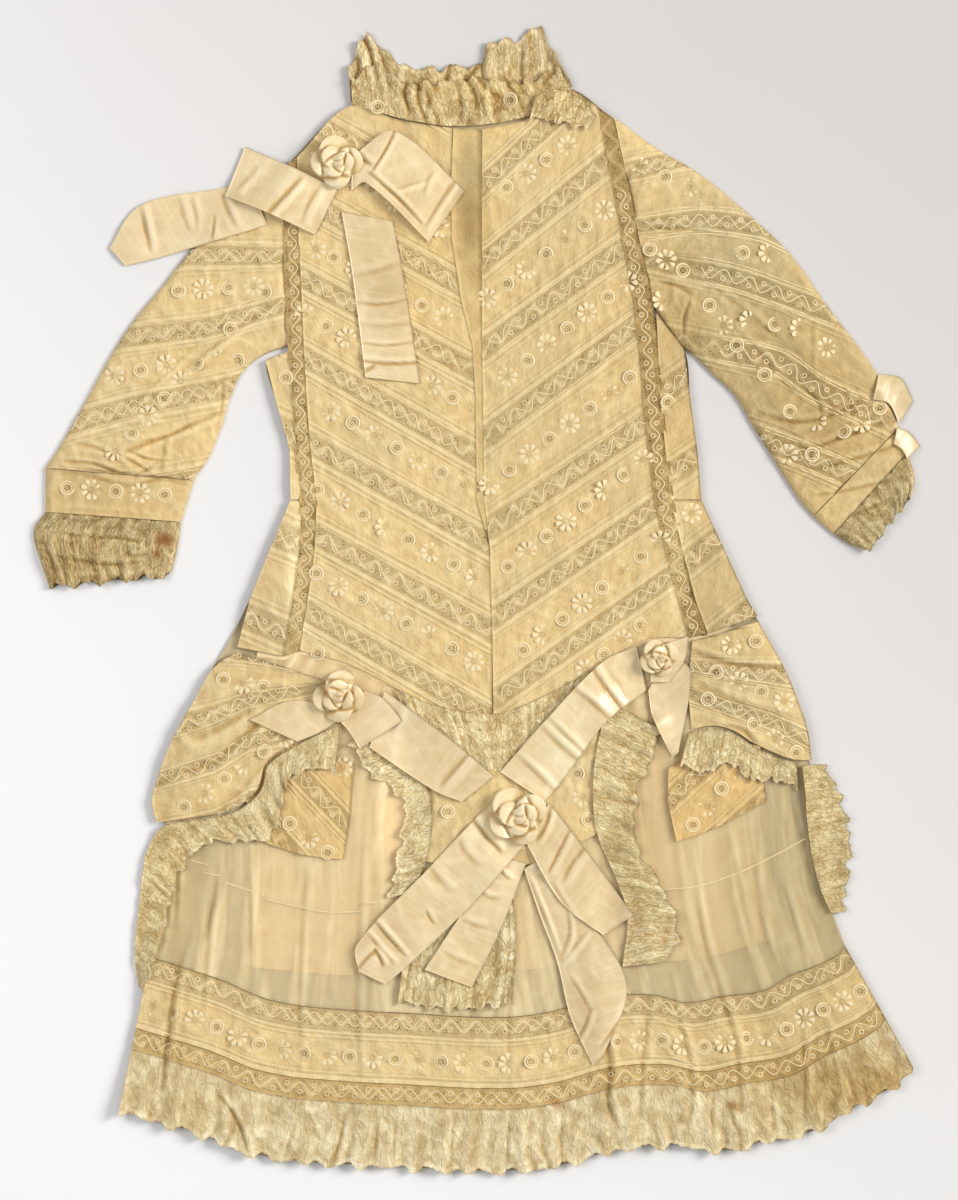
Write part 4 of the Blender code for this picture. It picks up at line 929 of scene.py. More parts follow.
cord_tree, start, end = node_tree("cord", (("Radius", "Float"), ("Finish", "Material")))
line = put(cord_tree, "GeometryNodeMeshToCurve", links={"Mesh": start.outputs["Geometry"]})
ring = put(
    cord_tree, "GeometryNodeCurvePrimitiveCircle",
    links={"Resolution": 5, "Radius": start.outputs["Radius"]},
)
tube_step = put(
    cord_tree, "GeometryNodeCurveToMesh",
    links={"Curve": line.outputs["Curve"], "Profile Curve": ring.outputs["Curve"], "Fill Caps": True},
)
real = put(cord_tree, "GeometryNodeRealizeInstances", links={"Geometry": tube_step.outputs["Mesh"]})
dressed = put(
    cord_tree, "GeometryNodeSetMaterial",
    links={"Geometry": real.outputs["Geometry"], "Material": start.outputs["Finish"]},
)
cord_tree.links.new(dressed.outputs["Geometry"], end.inputs["Geometry"])


def on_top(tops, x, y):
    """The height and slope of the highest of the named pieces at a place."""
    best = None
    for name in tops:
        hit, normal = TOPS[name].ray_cast((x, y, ABOVE), DOWN)[:2]
        if hit is not None and (best is None or hit.z > best[0]):
            best = (hit.z, normal)
    return best


CORD, SUNK = 0.42, 0.1  # the cord of an insertion: its radius, and how deep it lies in the cloth
ROLL, ROLL_SUNK = 0.6, 0.42  # a rolled edge or pin tuck, the same


def cords(name, lines, tops, radius, sink, finish):
    """Cords laid along lines on the named pieces, broken where a line runs off them."""
    spots, edges = [], []
    for line in lines:
        last = None
        for x, y in line:
            found = on_top(tops, x, y)
            if found is None:
                last = None
                continue
            spots.append((x * MM, y * MM, (found[0] - sink) * MM))
            if last is not None:
                edges.append((last, len(spots) - 1))
            last = len(spots) - 1
    used = sorted({k for edge in edges for k in edge})
    renamed = {k: i for i, k in enumerate(used)}
    mesh = bpy.data.meshes.new(name)
    mesh.from_pydata([spots[k] for k in used], [(renamed[a], renamed[b]) for a, b in edges], [])
    made = grown(name, mesh, cord_tree, Radius=radius * MM, Finish=finish.made)
    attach(made, "root")
    return made


def sampled(line, step):
    """Points along a smooth line, one every step, with the direction across it at each."""
    length = run(line)
    count = max(2, round(length / step))
    t = np.linspace(0.0, 1.0, count + 1)
    at = curve(line)(t)
    ahead = np.gradient(at, axis=0)
    ahead /= np.linalg.norm(ahead, axis=1)[:, None]
    return at, np.stack([-ahead[:, 1], ahead[:, 0]], axis=1), t * length


def insertion_cords(lines, pitch=WAVE_PITCH, reach=3.7):
    """The wavy cord of each insertion, with a small ring in every hollow."""
    out = []
    for k, line in enumerate(lines):
        at, side, gone = sampled(line, 1.3)
        shift = 2.4 * k
        wave = at + side * (reach * np.sin((gone + shift) * 2 * math.pi / pitch))[:, None]
        out.append(list(wave))
        for j in range(int(gone[-1] / (pitch / 2))):
            middle = (j + 0.5) * pitch / 2 - (shift % (pitch / 2))
            if middle < 0:
                continue
            centre = np.array([np.interp(middle, gone, at[:, 0]), np.interp(middle, gone, at[:, 1])])
            across_line = side[min(np.searchsorted(gone, middle), len(side) - 1)]
            sign = math.sin((middle + shift) * 2 * math.pi / pitch)
            centre = centre - across_line * sign * reach * 0.62
            ring = np.linspace(0, 2 * math.pi, 8)
            out.append([centre + RING_RADIUS * np.array((math.cos(a), math.sin(a))) for a in ring])
    return out


def edge_lines(lines, offsets):
    """Lines beside each insertion, for its rolled edges and pin tucks."""
    out = []
    for line in lines:
        at, side, _ = sampled(line, 4.0)
        for offset in offsets:
            out.append(list(at + side * offset))
    return out


def template(name, parts):
    """A small raised motif: a mesh from flat petals, rings and eyelets, with its eyelets marked."""
    verts, faces, dark = [], [], []
    for points, polygons, is_dark in parts:
        faces += [tuple(k + len(verts) for k in polygon) for polygon in polygons]
        dark += [is_dark] * len(polygons)
        verts += points
    mesh = bpy.data.meshes.new(name)
    mesh.from_pydata([tuple(c * MM for c in p) for p in verts], [], faces)
    mark = mesh.attributes.new("eyelet", "BOOLEAN", "FACE")
    mark.data.foreach_set("value", dark)
    made = bpy.data.objects.new(name, mesh)
    bpy.context.scene.collection.objects.link(made)
    return made


def round_places(count):
    """Places evenly round a circle of radius 1."""
    return [(math.cos(a), math.sin(a)) for a in np.linspace(0, 2 * math.pi, count + 1)[:-1]]


def raised_ring(radius, thick, high, count):
    """A padded ring: its outer edge, crest and inner edge."""
    points = []
    faces = []
    for out, lift in ((1.0, -0.3), (0.4, high), (-0.4, high), (-1.0, -0.3)):
        reach = radius + thick * out
        points += [(x * reach, y * reach, lift) for x, y in round_places(count)]
    for row in (0, count, 2 * count):
        for k in range(count):
            after = (k + 1) % count
            faces.append((row + k, row + after, row + count + after, row + count + k))
    return points, faces, False


def dot(x, y, radius, lift):
    """One pierced eyelet: a small dark five-sided face, painted shade in its hole."""
    return [(x + radius * c, y + radius * s, lift) for c, s in round_places(5)], [tuple(range(5))], True


def petal(turn, near, falloff_shade, wide, high):
    """One padded satin-stitch petal, pointed at the middle and round at the tip."""
    outline = ((near, 0.0), (near * 0.6 + falloff_shade * 0.4, wide * 0.7), (falloff_shade * 0.8 + near * 0.2, wide), (falloff_shade, 0.0))
    outline += ((falloff_shade * 0.8 + near * 0.2, -wide), (near * 0.6 + falloff_shade * 0.4, -wide * 0.7))
    points = [(x, -y, -0.25) for x, y in outline] + [((near * 0.4 + falloff_shade * 0.6), 0.0, high)]
    c, s = math.cos(turn), math.sin(turn)
    points = [(x * c - y * s, x * s + y * c, z) for x, y, z in points]
    return points, [((k + 1) % 6, k, 6) for k in range(6)], False


def eyelet_ring(radius, count, size, lift):
    return [dot(radius * c, radius * s, size, lift) for c, s in round_places(count)]


wheel = template(
    "wheel", [raised_ring(4.4, 0.7, 0.32, 16), raised_ring(2.85, 0.36, 0.26, 12)]
    + eyelet_ring(1.55, 7, 0.42, 0.16) + [dot(0, 0, 0.4, 0.16)],
)
daisy = template(
    "daisy", [petal(2 * math.pi * k / 8 + 0.2, 2.4, 7.2, 1.7, 0.35) for k in range(8)]
    + eyelet_ring(1.6, 8, 0.3, 0.14) + [dot(0, 0, 0.3, 0.14)],
)

motif_tree, start, end = node_tree(
    "motifs", (("Motif", "Object"), ("Size", "Float"), ("Thread", "Material"), ("Eyelet", "Material"))
)
info = put(motif_tree, "GeometryNodeObjectInfo", links={"Object": start.outputs["Motif"]})
facing = put(motif_tree, "GeometryNodeInputNamedAttribute", {"data_type": "FLOAT_VECTOR"}, {"Name": "facing"})
turned_to = put(motif_tree, "FunctionNodeEulerToRotation", links={"Euler": facing.outputs["Attribute"]})
scatter = put(
    motif_tree, "GeometryNodeInstanceOnPoints",
    links={
        "Points": start.outputs["Geometry"], "Instance": info.outputs["Geometry"],
        "Rotation": turned_to.outputs["Rotation"], "Scale": start.outputs["Size"],
    },
)
real = put(motif_tree, "GeometryNodeRealizeInstances", links={"Geometry": scatter.outputs["Instances"]})
sewn_thread = put(
    motif_tree, "GeometryNodeSetMaterial",
    links={"Geometry": real.outputs["Geometry"], "Material": start.outputs["Thread"]},
)
marked = put(motif_tree, "GeometryNodeInputNamedAttribute", {"data_type": "BOOLEAN"}, {"Name": "eyelet"})
pierced = put(
    motif_tree, "GeometryNodeSetMaterial",
    links={
        "Geometry": sewn_thread.outputs["Geometry"], "Selection": marked.outputs["Attribute"],
        "Material": start.outputs["Eyelet"],
    },
)
motif_tree.links.new(pierced.outputs["Geometry"], end.inputs["Geometry"])


def worked(panel, node, bands, rows, tucked=False):
    """Finishes a panel of whitework: its embroidery, the cords of its insertions and their rolled edges."""
    trims = motifs(node, rows, [panel.name])
    trims.append(cords(node + "_cords", insertion_cords(bands), [panel.name], CORD, SUNK, thread))
    if tucked:
        rolls = edge_lines(bands, TUCKS)
        trims.append(cords(node + "_tucks", rolls, [panel.name], ROLL, ROLL_SUNK, rolled))
    sewn(panel, node)


def motifs(name, rows, tops):
    """Rows of wheels and daisies by turns, each lying on the cloth under it."""
    made = []
    stitched = {"Thread": thread.made, "Eyelet": eyelet.made}
    rule = np.random.default_rng(5)
    for kind, model in ((1, wheel), (0, daisy)):
        spots, facings = [], []
        for a, b, count, first in rows:
            for k in range(count):
                if (k + first) % 2 != kind:
                    continue
                share = k / max(count - 1, 1)
                x, y = a[0] + (b[0] - a[0]) * share, a[1] + (b[1] - a[1]) * share
                found = on_top(tops, x, y)
                if found is None or found[1].z < 0.5:
                    continue
                spots.append((x * MM, y * MM, (found[0] + 0.12) * MM))
                spin = Quaternion((0.0, 0.0, 1.0), rule.uniform(0.0, 0.8))
                facings.append((Vector((0, 0, 1)).rotation_difference(found[1]) @ spin).to_euler())
        if not spots:
            continue
        mesh = bpy.data.meshes.new(name)
        mesh.from_pydata(spots, [], [])
        mesh.attributes.new("facing", "FLOAT_VECTOR", "POINT").data.foreach_set(
            "vector", np.array(facings).ravel(),
        )
        word = "_wheels" if kind else "_daisies"
        piece = grown(name + word, mesh, motif_tree, Motif=model, Size=1.0, **stitched)
        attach(piece, "root")
        made.append(piece)
    return made


top_left = ((-119.2, 292.3), (-84.4, 326.0), (-51.4, 316.7), (-16.7, 311.4))
bottom_left = ((-117.2, -32.4), (-81.1, -43.0), (-25.0, -72.0), (9.3, -76.6))
rows = [top_left] + seam_rows(LEFT_IN, PLACKET_LEFT, 0, len(BODICE)) + [bottom_left]
creases = (
    (((-88, 179), (-51, 164), (-5, 151)), 0.4, 0.5, 2.5),
    (((-103, 199), (-98, 119), (-100, 27)), 0.35, 0.3, 3.0),
    (((-5, 53), (-5, -26)), 0.2, 0.4, 1.6),
    (((-65, 113), (-70, 53), (-66, -6)), 0.5, 0.2, 5.0),
    (((-32, 86), (-25, 27), (-30, -32)), 0.4, 0.2, 5.0),
)
front = cloth("front_left", row_panel(rows), FINE, whitework, banded(BANDS_LEFT), creases)
worked(front, "front_left", BANDS_LEFT, ROWS_LEFT, tucked=True)

top_right = ((2.9, 310.8), (34.4, 318.0), (60.8, 336.8), (70.7, 331.2), (79.0, 325.3))
bottom_right = ((10.1, -76.6), (54.2, -58.8), (107.0, -26.5), (140.0, -23.8))
rows = [top_right] + seam_rows(PLACKET_RIGHT, RIGHT_IN, 0, len(BODICE)) + [bottom_right]
creases = (
    (((40, 278), (39, 205), (38, 146)), 0.2, 0.35, 1.5),
    (((28, 27), (27, -39)), 0.2, 0.4, 1.6),
    (((54, 265), (67, 179), (64, 93)), 0.5, 0.2, 6.0),
    (((94, 119), (102, 53), (107, -13)), 0.4, 0.3, 5.0),
    (((44, 119), (49, 53), (54, -26)), 0.4, 0.2, 6.0),
)
front = cloth("front_right", row_panel(rows), FINE, whitework, banded(BANDS_RIGHT), creases)
worked(front, "front_right", BANDS_RIGHT, ROWS_RIGHT, tucked=True)


# The placket: a narrow plain strip of doubled batiste sewn down the centre front from
# the neck to below the waist, where it runs out between the two fronts.
batiste = Finish("plain batiste", Roughness=0.88)
along, across = batiste.mapped()
place = batiste.vector(along, across)
weave = batiste.noise(batiste.vector(along * 1.2, across * 0.25), 1.0, 3.0)
batiste.feed(Base_Color=batiste.tinted(batiste.batiste_ground(weave)[0]))
batiste.relief(weave * 0.14 + batiste.crumple(place))
rows = [((-16.3, 311.4), (2.5, 310.8))] + seam_rows(PLACKET_LEFT, PLACKET_RIGHT, 0, 7)
rows.append(((4.8, 46.8), (6.1, 46.8)))
strip = cloth("placket", row_panel(rows), (1.5, 2.5), batiste, soft=2.0, tone=(0.92, 0.9, 0.84))
sewn(strip, "placket")


# The upright insertions: a strip of the same lace insertion from the shoulder to the
# hip on each side, which joins the bodice front to the side panel and the sleeve.
def upright(width):
    """The map of an upright insertion: down its length, and across from its middle line."""
    return lambda x, y, u, v: (-y, (u - 0.5) * width)


for node, left, right, over_left, over_right, first, last in (
    ("insertion_left", LEFT_OUT, LEFT_IN, 1.6, 0.5,
     ((-128.2, 286.4), (-119.6, 292.0)), ((-127.8, -36.4), (-117.6, -33.1))),
    ("insertion_right", RIGHT_IN, RIGHT_OUT, 0.5, 1.6,
     ((79.0, 325.3), (89.5, 317.7)), ((140.3, -23.8), (151.0, -21.9))),
):
    rows = [first] + seam_rows(left, right, 0, len(BODICE), over_left, over_right) + [last]
    dim = (0.74, 0.67, 0.53)
    strip = cloth(node, row_panel(rows), (1.2, 2.0), whitework, upright(10.0), soft=1.5, tone=dim)
    middle = [((row[left] + row[right]) / 2, row[0]) for row in BODICE]
    wave = insertion_cords([middle], 16.0, 2.6)
    trims = [cords(node + "_cords", wave, [strip.name], 0.4, SUNK, thread)]
    sewn(strip, node)


# The side panels under the arms and the hip panels below the waist seam: tucked and
# embroidered batiste like the fronts, with their insertions set a little steeper.
SIDES = (
    # height, outer edge of the left panels, outer edge of the right panels
    (132.6, -133.3, 140.0),
    (99.6, -124.0, 144.6),
    (66.6, -123.4, 147.2),
    (33.6, -137.2, 162.4),
    (0.6, -150.4, 177.6),
)
BANDS_SIDE_LEFT = (
    ((-143.8, 185.4), (-117.4, 172.2)),
    ((-143.8, 119.4), (-117.4, 106.2)),
    ((-157.0, 53.4), (-117.4, 36.9)),
    ((-163.6, -6.0), (-117.4, -25.8)),
)
BANDS_SIDE_RIGHT = (
    ((116.9, 198.6), (146.6, 221.7)),
    ((116.9, 132.6), (146.6, 155.7)),
    ((120.2, 79.8), (149.9, 99.6)),
    ((123.5, 13.8), (173.0, 53.4)),
    ((146.6, -32.4), (186.2, 0.6)),
)
ROWS_SIDE_LEFT = (((-126.7, 147.1), (-126.7, 147.1), 1, 1),)
ROWS_SIDE_RIGHT = (
    ((125.1, 130.6), (122.1, 108.2), 2, 1),
    ((140.6, 58.0), (140.6, 58.0), 1, 0),
)


def side_row(k, side, seam):
    y, left, right = SIDES[k]
    upright_seam = BODICE[k + 4][seam]
    ends = (left, upright_seam) if side == 1 else (upright_seam, right)
    return (ends[0], y), (ends[1], y)


def lowered(row, step):
    return [(x, y + step) for x, y in row]


for side, seam, word, bands, rows_sewn in (
    (1, LEFT_OUT, "left", BANDS_SIDE_LEFT, ROWS_SIDE_LEFT),
    (2, RIGHT_OUT, "right", BANDS_SIDE_RIGHT, ROWS_SIDE_RIGHT),
):
    if side == 1:
        top, bottom = ((-139.9, 158.3), (-123.8, 164.9)), ((-158.4, -30.4), (-128.2, -36.4))
    else:
        top, bottom = ((117.5, 190.0), (136.0, 165.6)), ((151.4, -21.5), (184.2, -10.0))
    waist = side_row(2, side, seam)
    rows = [top, side_row(0, side, seam), side_row(1, side, seam), lowered(waist, SEAM / 2)]
    panel = cloth("side_" + word, row_panel(rows), FINE, whitework, banded(bands), soft=3.0)
    worked(panel, "side_" + word, bands, rows_sewn)
    rows = [lowered(waist, -SEAM / 2), side_row(3, side, seam), side_row(4, side, seam), bottom]
    panel = cloth("hip_" + word, row_panel(rows), FINE, whitework, banded(bands), soft=3.0)
    worked(panel, "hip_" + word, bands, rows_sewn)


# The sleeves: three-quarter length, each one tube of tucked and embroidered batiste
# with insertions let in across it, set into the armhole and gathered to its cuff.
SLEEVE_LEFT = (
    # outer edge x, y and inner edge x, y, from the armhole to the cuff
    (-129.7, 285.7, -125.4, 168.2),
    (-165.0, 254.7, -142.5, 161.6),
    (-190.0, 230.3, -155.1, 151.1),
    (-209.8, 205.2, -163.6, 133.9),
    (-226.3, 185.4, -168.9, 116.1),
    (-241.5, 162.3, -174.9, 100.9),
    (-258.7, 131.3, -180.1, 90.3),
    (-275.8, 101.6, -185.4, 83.7),
    (-285.1, 87.7, -187.4, 79.8),
)
SLEEVE_RIGHT = (
    (89.8, 318.7, 115.2, 195.3),
    (116.9, 298.9, 131.4, 170.2),
    (146.6, 281.1, 141.3, 162.9),
    (176.3, 256.7, 154.5, 149.7),
    (206.0, 228.3, 169.7, 135.2),
    (231.0, 193.3, 180.9, 116.1),
    (252.2, 165.6, 196.1, 91.7),
    (266.7, 142.5, 211.2, 67.9),
    (277.2, 114.1, 221.1, 56.0),
)
BANDS_SLEEVE_LEFT = (
    ((-216.4, 277.8), (-127.3, 277.8)),
    ((-216.4, 223.7), (-193.3, 227.6), (-130.6, 226.3)),
    ((-232.3, 173.5), (-180.1, 179.4), (-128.0, 195.3)),
    ((-275.8, 114.1), (-231.0, 127.3), (-180.1, 137.9)),
    ((-289.0, 62.6), (-183.4, 79.8)),
)
BANDS_SLEEVE_RIGHT = (
    ((107.0, 330.6), (146.6, 338.5)),
    ((107.0, 284.4), (146.6, 294.3), (186.2, 287.7)),
    ((110.3, 246.1), (146.6, 250.7), (186.2, 246.1), (212.6, 234.9)),
    ((146.6, 217.7), (170.3, 212.4), (198.7, 202.5), (240.3, 187.4)),
    ((159.8, 165.6), (198.7, 157.0), (221.8, 140.5), (265.4, 119.4)),
    ((186.2, 106.2), (212.6, 96.3), (252.2, 79.8)),
    ((199.4, 53.4), (252.2, 27.0)),
)
ROWS_SLEEVE_LEFT = (
    ((-197.3, 204.5), (-147.8, 207.2), 4, 1),
    ((-140.5, 203.2), (-140.5, 203.2), 1, 1),
    ((-239.5, 148.4), (-205.2, 155.3), 3, 0),
    ((-163.0, 178.8), (-238.9, 98.9), 8, 1),
    ((-158.4, 158.3), (-158.4, 158.3), 1, 1),
)
ROWS_SLEEVE_RIGHT = (
    ((106.6, 286.4), (139.3, 272.5), 3, 0),
    ((113.2, 231.6), (135.0, 217.7), 3, 1),
    ((174.3, 229.2), (191.4, 229.2), 2, 1),
    ((152.5, 194.6), (170.3, 168.2), 3, 1),
    ((178.9, 184.7), (211.9, 179.4), 3, 0),
    ((229.7, 166.9), (229.7, 166.9), 1, 0),
    ((121.5, 197.9), (121.5, 197.9), 1, 0),
    ((188.5, 148.7), (188.5, 148.7), 1, 1),
    ((205.3, 124.7), (240.6, 111.7), 3, 1),
    ((252.2, 117.4), (264.7, 127.3), 2, 0),
    ((204.0, 96.6), (219.8, 96.3), 2, 0),
)


SIDE_LOW, SIDE_HIGH = 1.3, 1.5  # the heights of a tube's side fold, inside and outside
CROWN_FROM, CROWN_LEAST = 1.7, 2.4  # the height that its upper half starts from, and the least it reaches
ROUNDING = 4.0  # how far in from the side fold it reaches it


def tube(
    node, table, step, finish, mapping=plain_map, creases=(), gap=0.0, ripple=0.4, soft=3.0, extra=None,
    points=0.0,
):
    """A flattened tube: its upper half on the solid's upper side, its under half flat on the table."""
    outer = curve([row[:2] for row in table], by_index=True)
    inner = curve([row[2:] for row in table], by_index=True)
    length = math.dist(table[0][:2], table[-1][:2])
    wide = max(math.dist(row[:2], row[2:]) for row in table)
    rings, over = math.ceil(length / step[1]), math.ceil(wide / step[0])
    v = np.linspace(gap / length, 1.0, rings + 1)
    t = np.linspace(0.015, 0.985, over)
    under = np.linspace(0.985, 0.015, max(6, over // 5))
    loop = np.concatenate([[0.0], t, [1.0], under])
    a, b = outer(v)[:, None, :], inner(v)[:, None, :]

    def across(share):
        """Places across the tube; a lace end runs out in uneven points."""
        wave = np.cos(27.0 * share + 1.0) + 0.6 * np.cos(61.0 * share) + 0.7 * np.abs(np.sin(72.0 * share))
        away = points * wave[None, :] * np.clip(2.0 * v - 1.0, 0.0, 1.0)[:, None]
        down = (a[-1] - a[0]) / length
        return a * (1 - share[None, :, None]) + b * share[None, :, None] + away[..., None] * down

    flat = across(loop)
    x, y = flat[..., 0], flat[..., 1]
    z = np.zeros_like(x)
    crown = slice(1, over + 1)
    upper = softened(upper_side(node, x[:, crown], y[:, crown]), soft * rings / length, soft * over / wide)
    relief = creased(x[:, crown], y[:, crown], creases)
    relief = relief + rippled(x[:, crown], y[:, crown], len(node), 15.0, ripple)
    if extra is not None:
        relief = relief + extra(t[None, :] + 0 * relief, v[:, None] + 0 * relief)
    # Painted shade in the folds of the crown, as for flat cloth.
    wear_and_shade = np.zeros_like(x)
    wear_and_shade[:, crown] = (relief - softened(relief, REACH * rings / length, REACH * over / wide)) / FOLD_SHADE_DEPTH
    upper = upper + relief
    side = np.minimum(t, 1.0 - t) * wide
    risen = np.clip(side / ROUNDING, 0.0, 1.0) ** 0.5
    z[:, crown] = CROWN_FROM + (np.maximum(upper, CROWN_LEAST) - CROWN_FROM) * risen
    z[:, 0] = z[:, over + 1] = SIDE_HIGH
    top = np.stack([x, y, z], axis=-1)
    inset = THICK / wide
    near = inset + (1.0 - 2.0 * inset) * loop
    flat = across(near)
    low_z = z - THICK
    low_z[:, over + 2:] = THICK
    low_z[:, 0] = low_z[:, over + 1] = SIDE_LOW
    low_z = np.maximum(low_z, THICK)
    low = np.concatenate([flat, low_z[..., None]], axis=-1)
    pair = mapping(x, y, loop[None, :] + 0 * x, v[:, None] + 0 * x)
    made = shell(node + "_cloth", top, low, np.stack(pair, axis=-1), 1.0, finish, wear_and_shade, wrapped=True)
    SPANS[made.name] = span(np.concatenate([top, top[:, :1]], axis=1), 1), span(top, 0)
    return made


creases = (
    (((-128, 199), (-164, 175), (-203, 144)), 0.9, 0.9, 2.2),
    (((-184, 170), (-216, 140), (-247, 113)), 0.6, 0.5, 1.5),
    (((-232, 169), (-207, 173), (-178, 184)), 0.4, 0.7, 1.5),
    (((-167, 125), (-190, 115), (-212, 106), (-245, 93)), 1.3, 1.8, 2.0),
    (((-277, 92), (-253, 90), (-236, 84), (-216, 82)), 1.0, 1.9, 1.7),
    (((-268, 105), (-247, 99), (-232, 88)), 0.9, 1.3, 1.6),
    (((-236, 96), (-223, 89), (-216, 84)), 0.8, 1.3, 1.4),
    (((-206, 111), (-207, 98), (-210, 82)), 0.6, 0.8, 2.0),
    (((-168, 146), (-169, 126), (-173, 106)), 0.6, 0.9, 1.8),
    (((-150, 265), (-147, 225), (-137, 179)), 0.6, 0.3, 5.0),
    (((-216, 199), (-200, 179), (-183, 169)), 0.4, 0.5, 3.0),
    (((-255, 85), (-239, 80), (-223, 84), (-210, 92)), 0.6, 1.6, 1.1),
    (((-232, 100), (-219, 94), (-205, 92)), 0.6, 1.5, 1.1),
    (((-223, 105), (-205, 108), (-185, 119)), 0.5, 1.3, 1.2),
)
sleeve = tube("sleeve_left", SLEEVE_LEFT, FINE, whitework, banded(BANDS_SLEEVE_LEFT), creases)
worked(sleeve, "sleeve_left", BANDS_SLEEVE_LEFT, ROWS_SLEEVE_LEFT, tucked=True)

elbow_creases = (
    (((108, 246), (132, 245), (155, 241)), 0.6, 1.4, 1.8),
    (((118, 210), (130, 208), (143, 201)), 0.8, 1.8, 1.7),
    (((140, 200), (136, 187), (135, 173)), 0.6, 1.4, 1.8),
    (((151, 209), (176, 191), (201, 170)), 0.8, 0.8, 2.0),
    (((166, 182), (189, 159), (209, 135)), 0.7, 0.8, 2.0),
    (((182, 125), (206, 118), (229, 121), (259, 135)), 1.1, 1.8, 2.0),
    (((201, 104), (220, 101), (238, 107), (271, 119)), 1.1, 1.9, 1.9),
    (((209, 85), (232, 89), (256, 96), (282, 105)), 0.9, 1.5, 1.8),
    (((217, 69), (234, 71), (248, 74), (282, 82)), 0.8, 1.3, 1.7),
    (((213, 142), (224, 130), (227, 113)), 0.7, 1.2, 1.7),
    (((239, 142), (246, 126), (243, 113)), 0.6, 1.1, 1.7),
    (((220, 205), (220, 175), (220, 146)), 0.3, 0.7, 1.8),
    (((239, 53), (253, 59), (272, 67)), 0.7, 1.2, 1.7),
    (((147, 271), (160, 245), (170, 205)), 0.6, 0.3, 5.0),
)
sleeve = tube("sleeve_right", SLEEVE_RIGHT, FINE, whitework, banded(BANDS_SLEEVE_RIGHT), elbow_creases)
worked(sleeve, "sleeve_right", BANDS_SLEEVE_RIGHT, ROWS_SLEEVE_RIGHT, tucked=True)


# The cuffs: a plain band of batiste at the end of each sleeve with a row of
# embroidered wheels, and a gathered bobbin lace sewn to its lower edge.
CUFF_LEFT = ((-285.1, 87.7, -187.4, 79.8), (-285.1, 58.7, -196.0, 52.1))
CUFF_RIGHT = ((277.2, 114.1, 221.1, 56.0), (283.2, 98.3, 234.3, 44.1))
CUFF_LACE_LEFT = (
    (-285.1, 58.7, -196.0, 52.1),
    (-293.0, 43.5, -198.6, 33.6),
    (-282.4, 9.8, -201.9, 17.7),
)
CUFF_LACE_RIGHT = (
    (283.2, 98.3, 234.3, 44.1),
    (287.8, 81.1, 245.6, 36.9),
    (285.2, 69.2, 256.1, 32.3),
)
creases = (
    (((-282, 84), (-263, 84), (-247, 80), (-228, 76), (-211, 80), (-190, 77)), 0.8, 1.3, 1.5),
    (((-269, 65), (-268, 72), (-270, 78)), 0.3, 0.5, 1.6),
    (((-235, 65), (-232, 72), (-234, 77)), 0.4, 0.6, 1.4),
    (((-277, 61), (-249, 59), (-215, 56)), 0.4, 0.4, 1.6),
)
cuff = tube("cuff_left", CUFF_LEFT, (1.6, 1.6), batiste, creases=creases, gap=SEAM, soft=1.5)
trims = motifs("cuff_left", (((-270.6, 74.5), (-206.5, 69.9), 5, 1),), [cuff.name])
sewn(cuff, "cuff_left")
cuff = tube("cuff_right", CUFF_RIGHT, (1.6, 1.6), batiste, creases=elbow_creases, gap=SEAM, soft=1.5)
sewn(cuff, "cuff_right")
cuff_net = bobbin_lace("cuff lace", (0.95, 0.77, 0.42), (0.38, 0.24, 0.07), 20.0, 34.0, 0.94, 0.55)
creases = (
    (((-276, 55), (-259, 52), (-243, 55), (-216, 51)), 0.5, 0.9, 1.4),
    (((-278, 45), (-256, 42), (-234, 41), (-214, 36)), 0.9, 1.8, 1.5),
    (((-281, 30), (-263, 27), (-243, 24), (-219, 26)), 1.0, 2.0, 1.5),
    (((-236, 32), (-226, 30), (-212, 32)), 0.5, 0.9, 1.3),
    (((-276, 18), (-259, 15), (-243, 18)), 0.5, 1.0, 1.4),
)
lace = tube(
    "cuff_lace_left", CUFF_LACE_LEFT, (1.2, 1.4), cuff_net, lace_map(300.0, 36.0), creases,
    gap=SEAM, ripple=0.8, soft=1.2, extra=gathers(7, 1.4, 0.5), points=1.8,
)
sewn(lace, "cuff_lace_left")
lace = tube(
    "cuff_lace_right", CUFF_LACE_RIGHT, (1.2, 1.4), cuff_net, lace_map(240.0, 34.0), elbow_creases,
    gap=SEAM, ripple=0.8, soft=1.2, extra=gathers(6, 1.4, 0.5, 4), points=1.6,
)
sewn(lace, "cuff_lace_right")


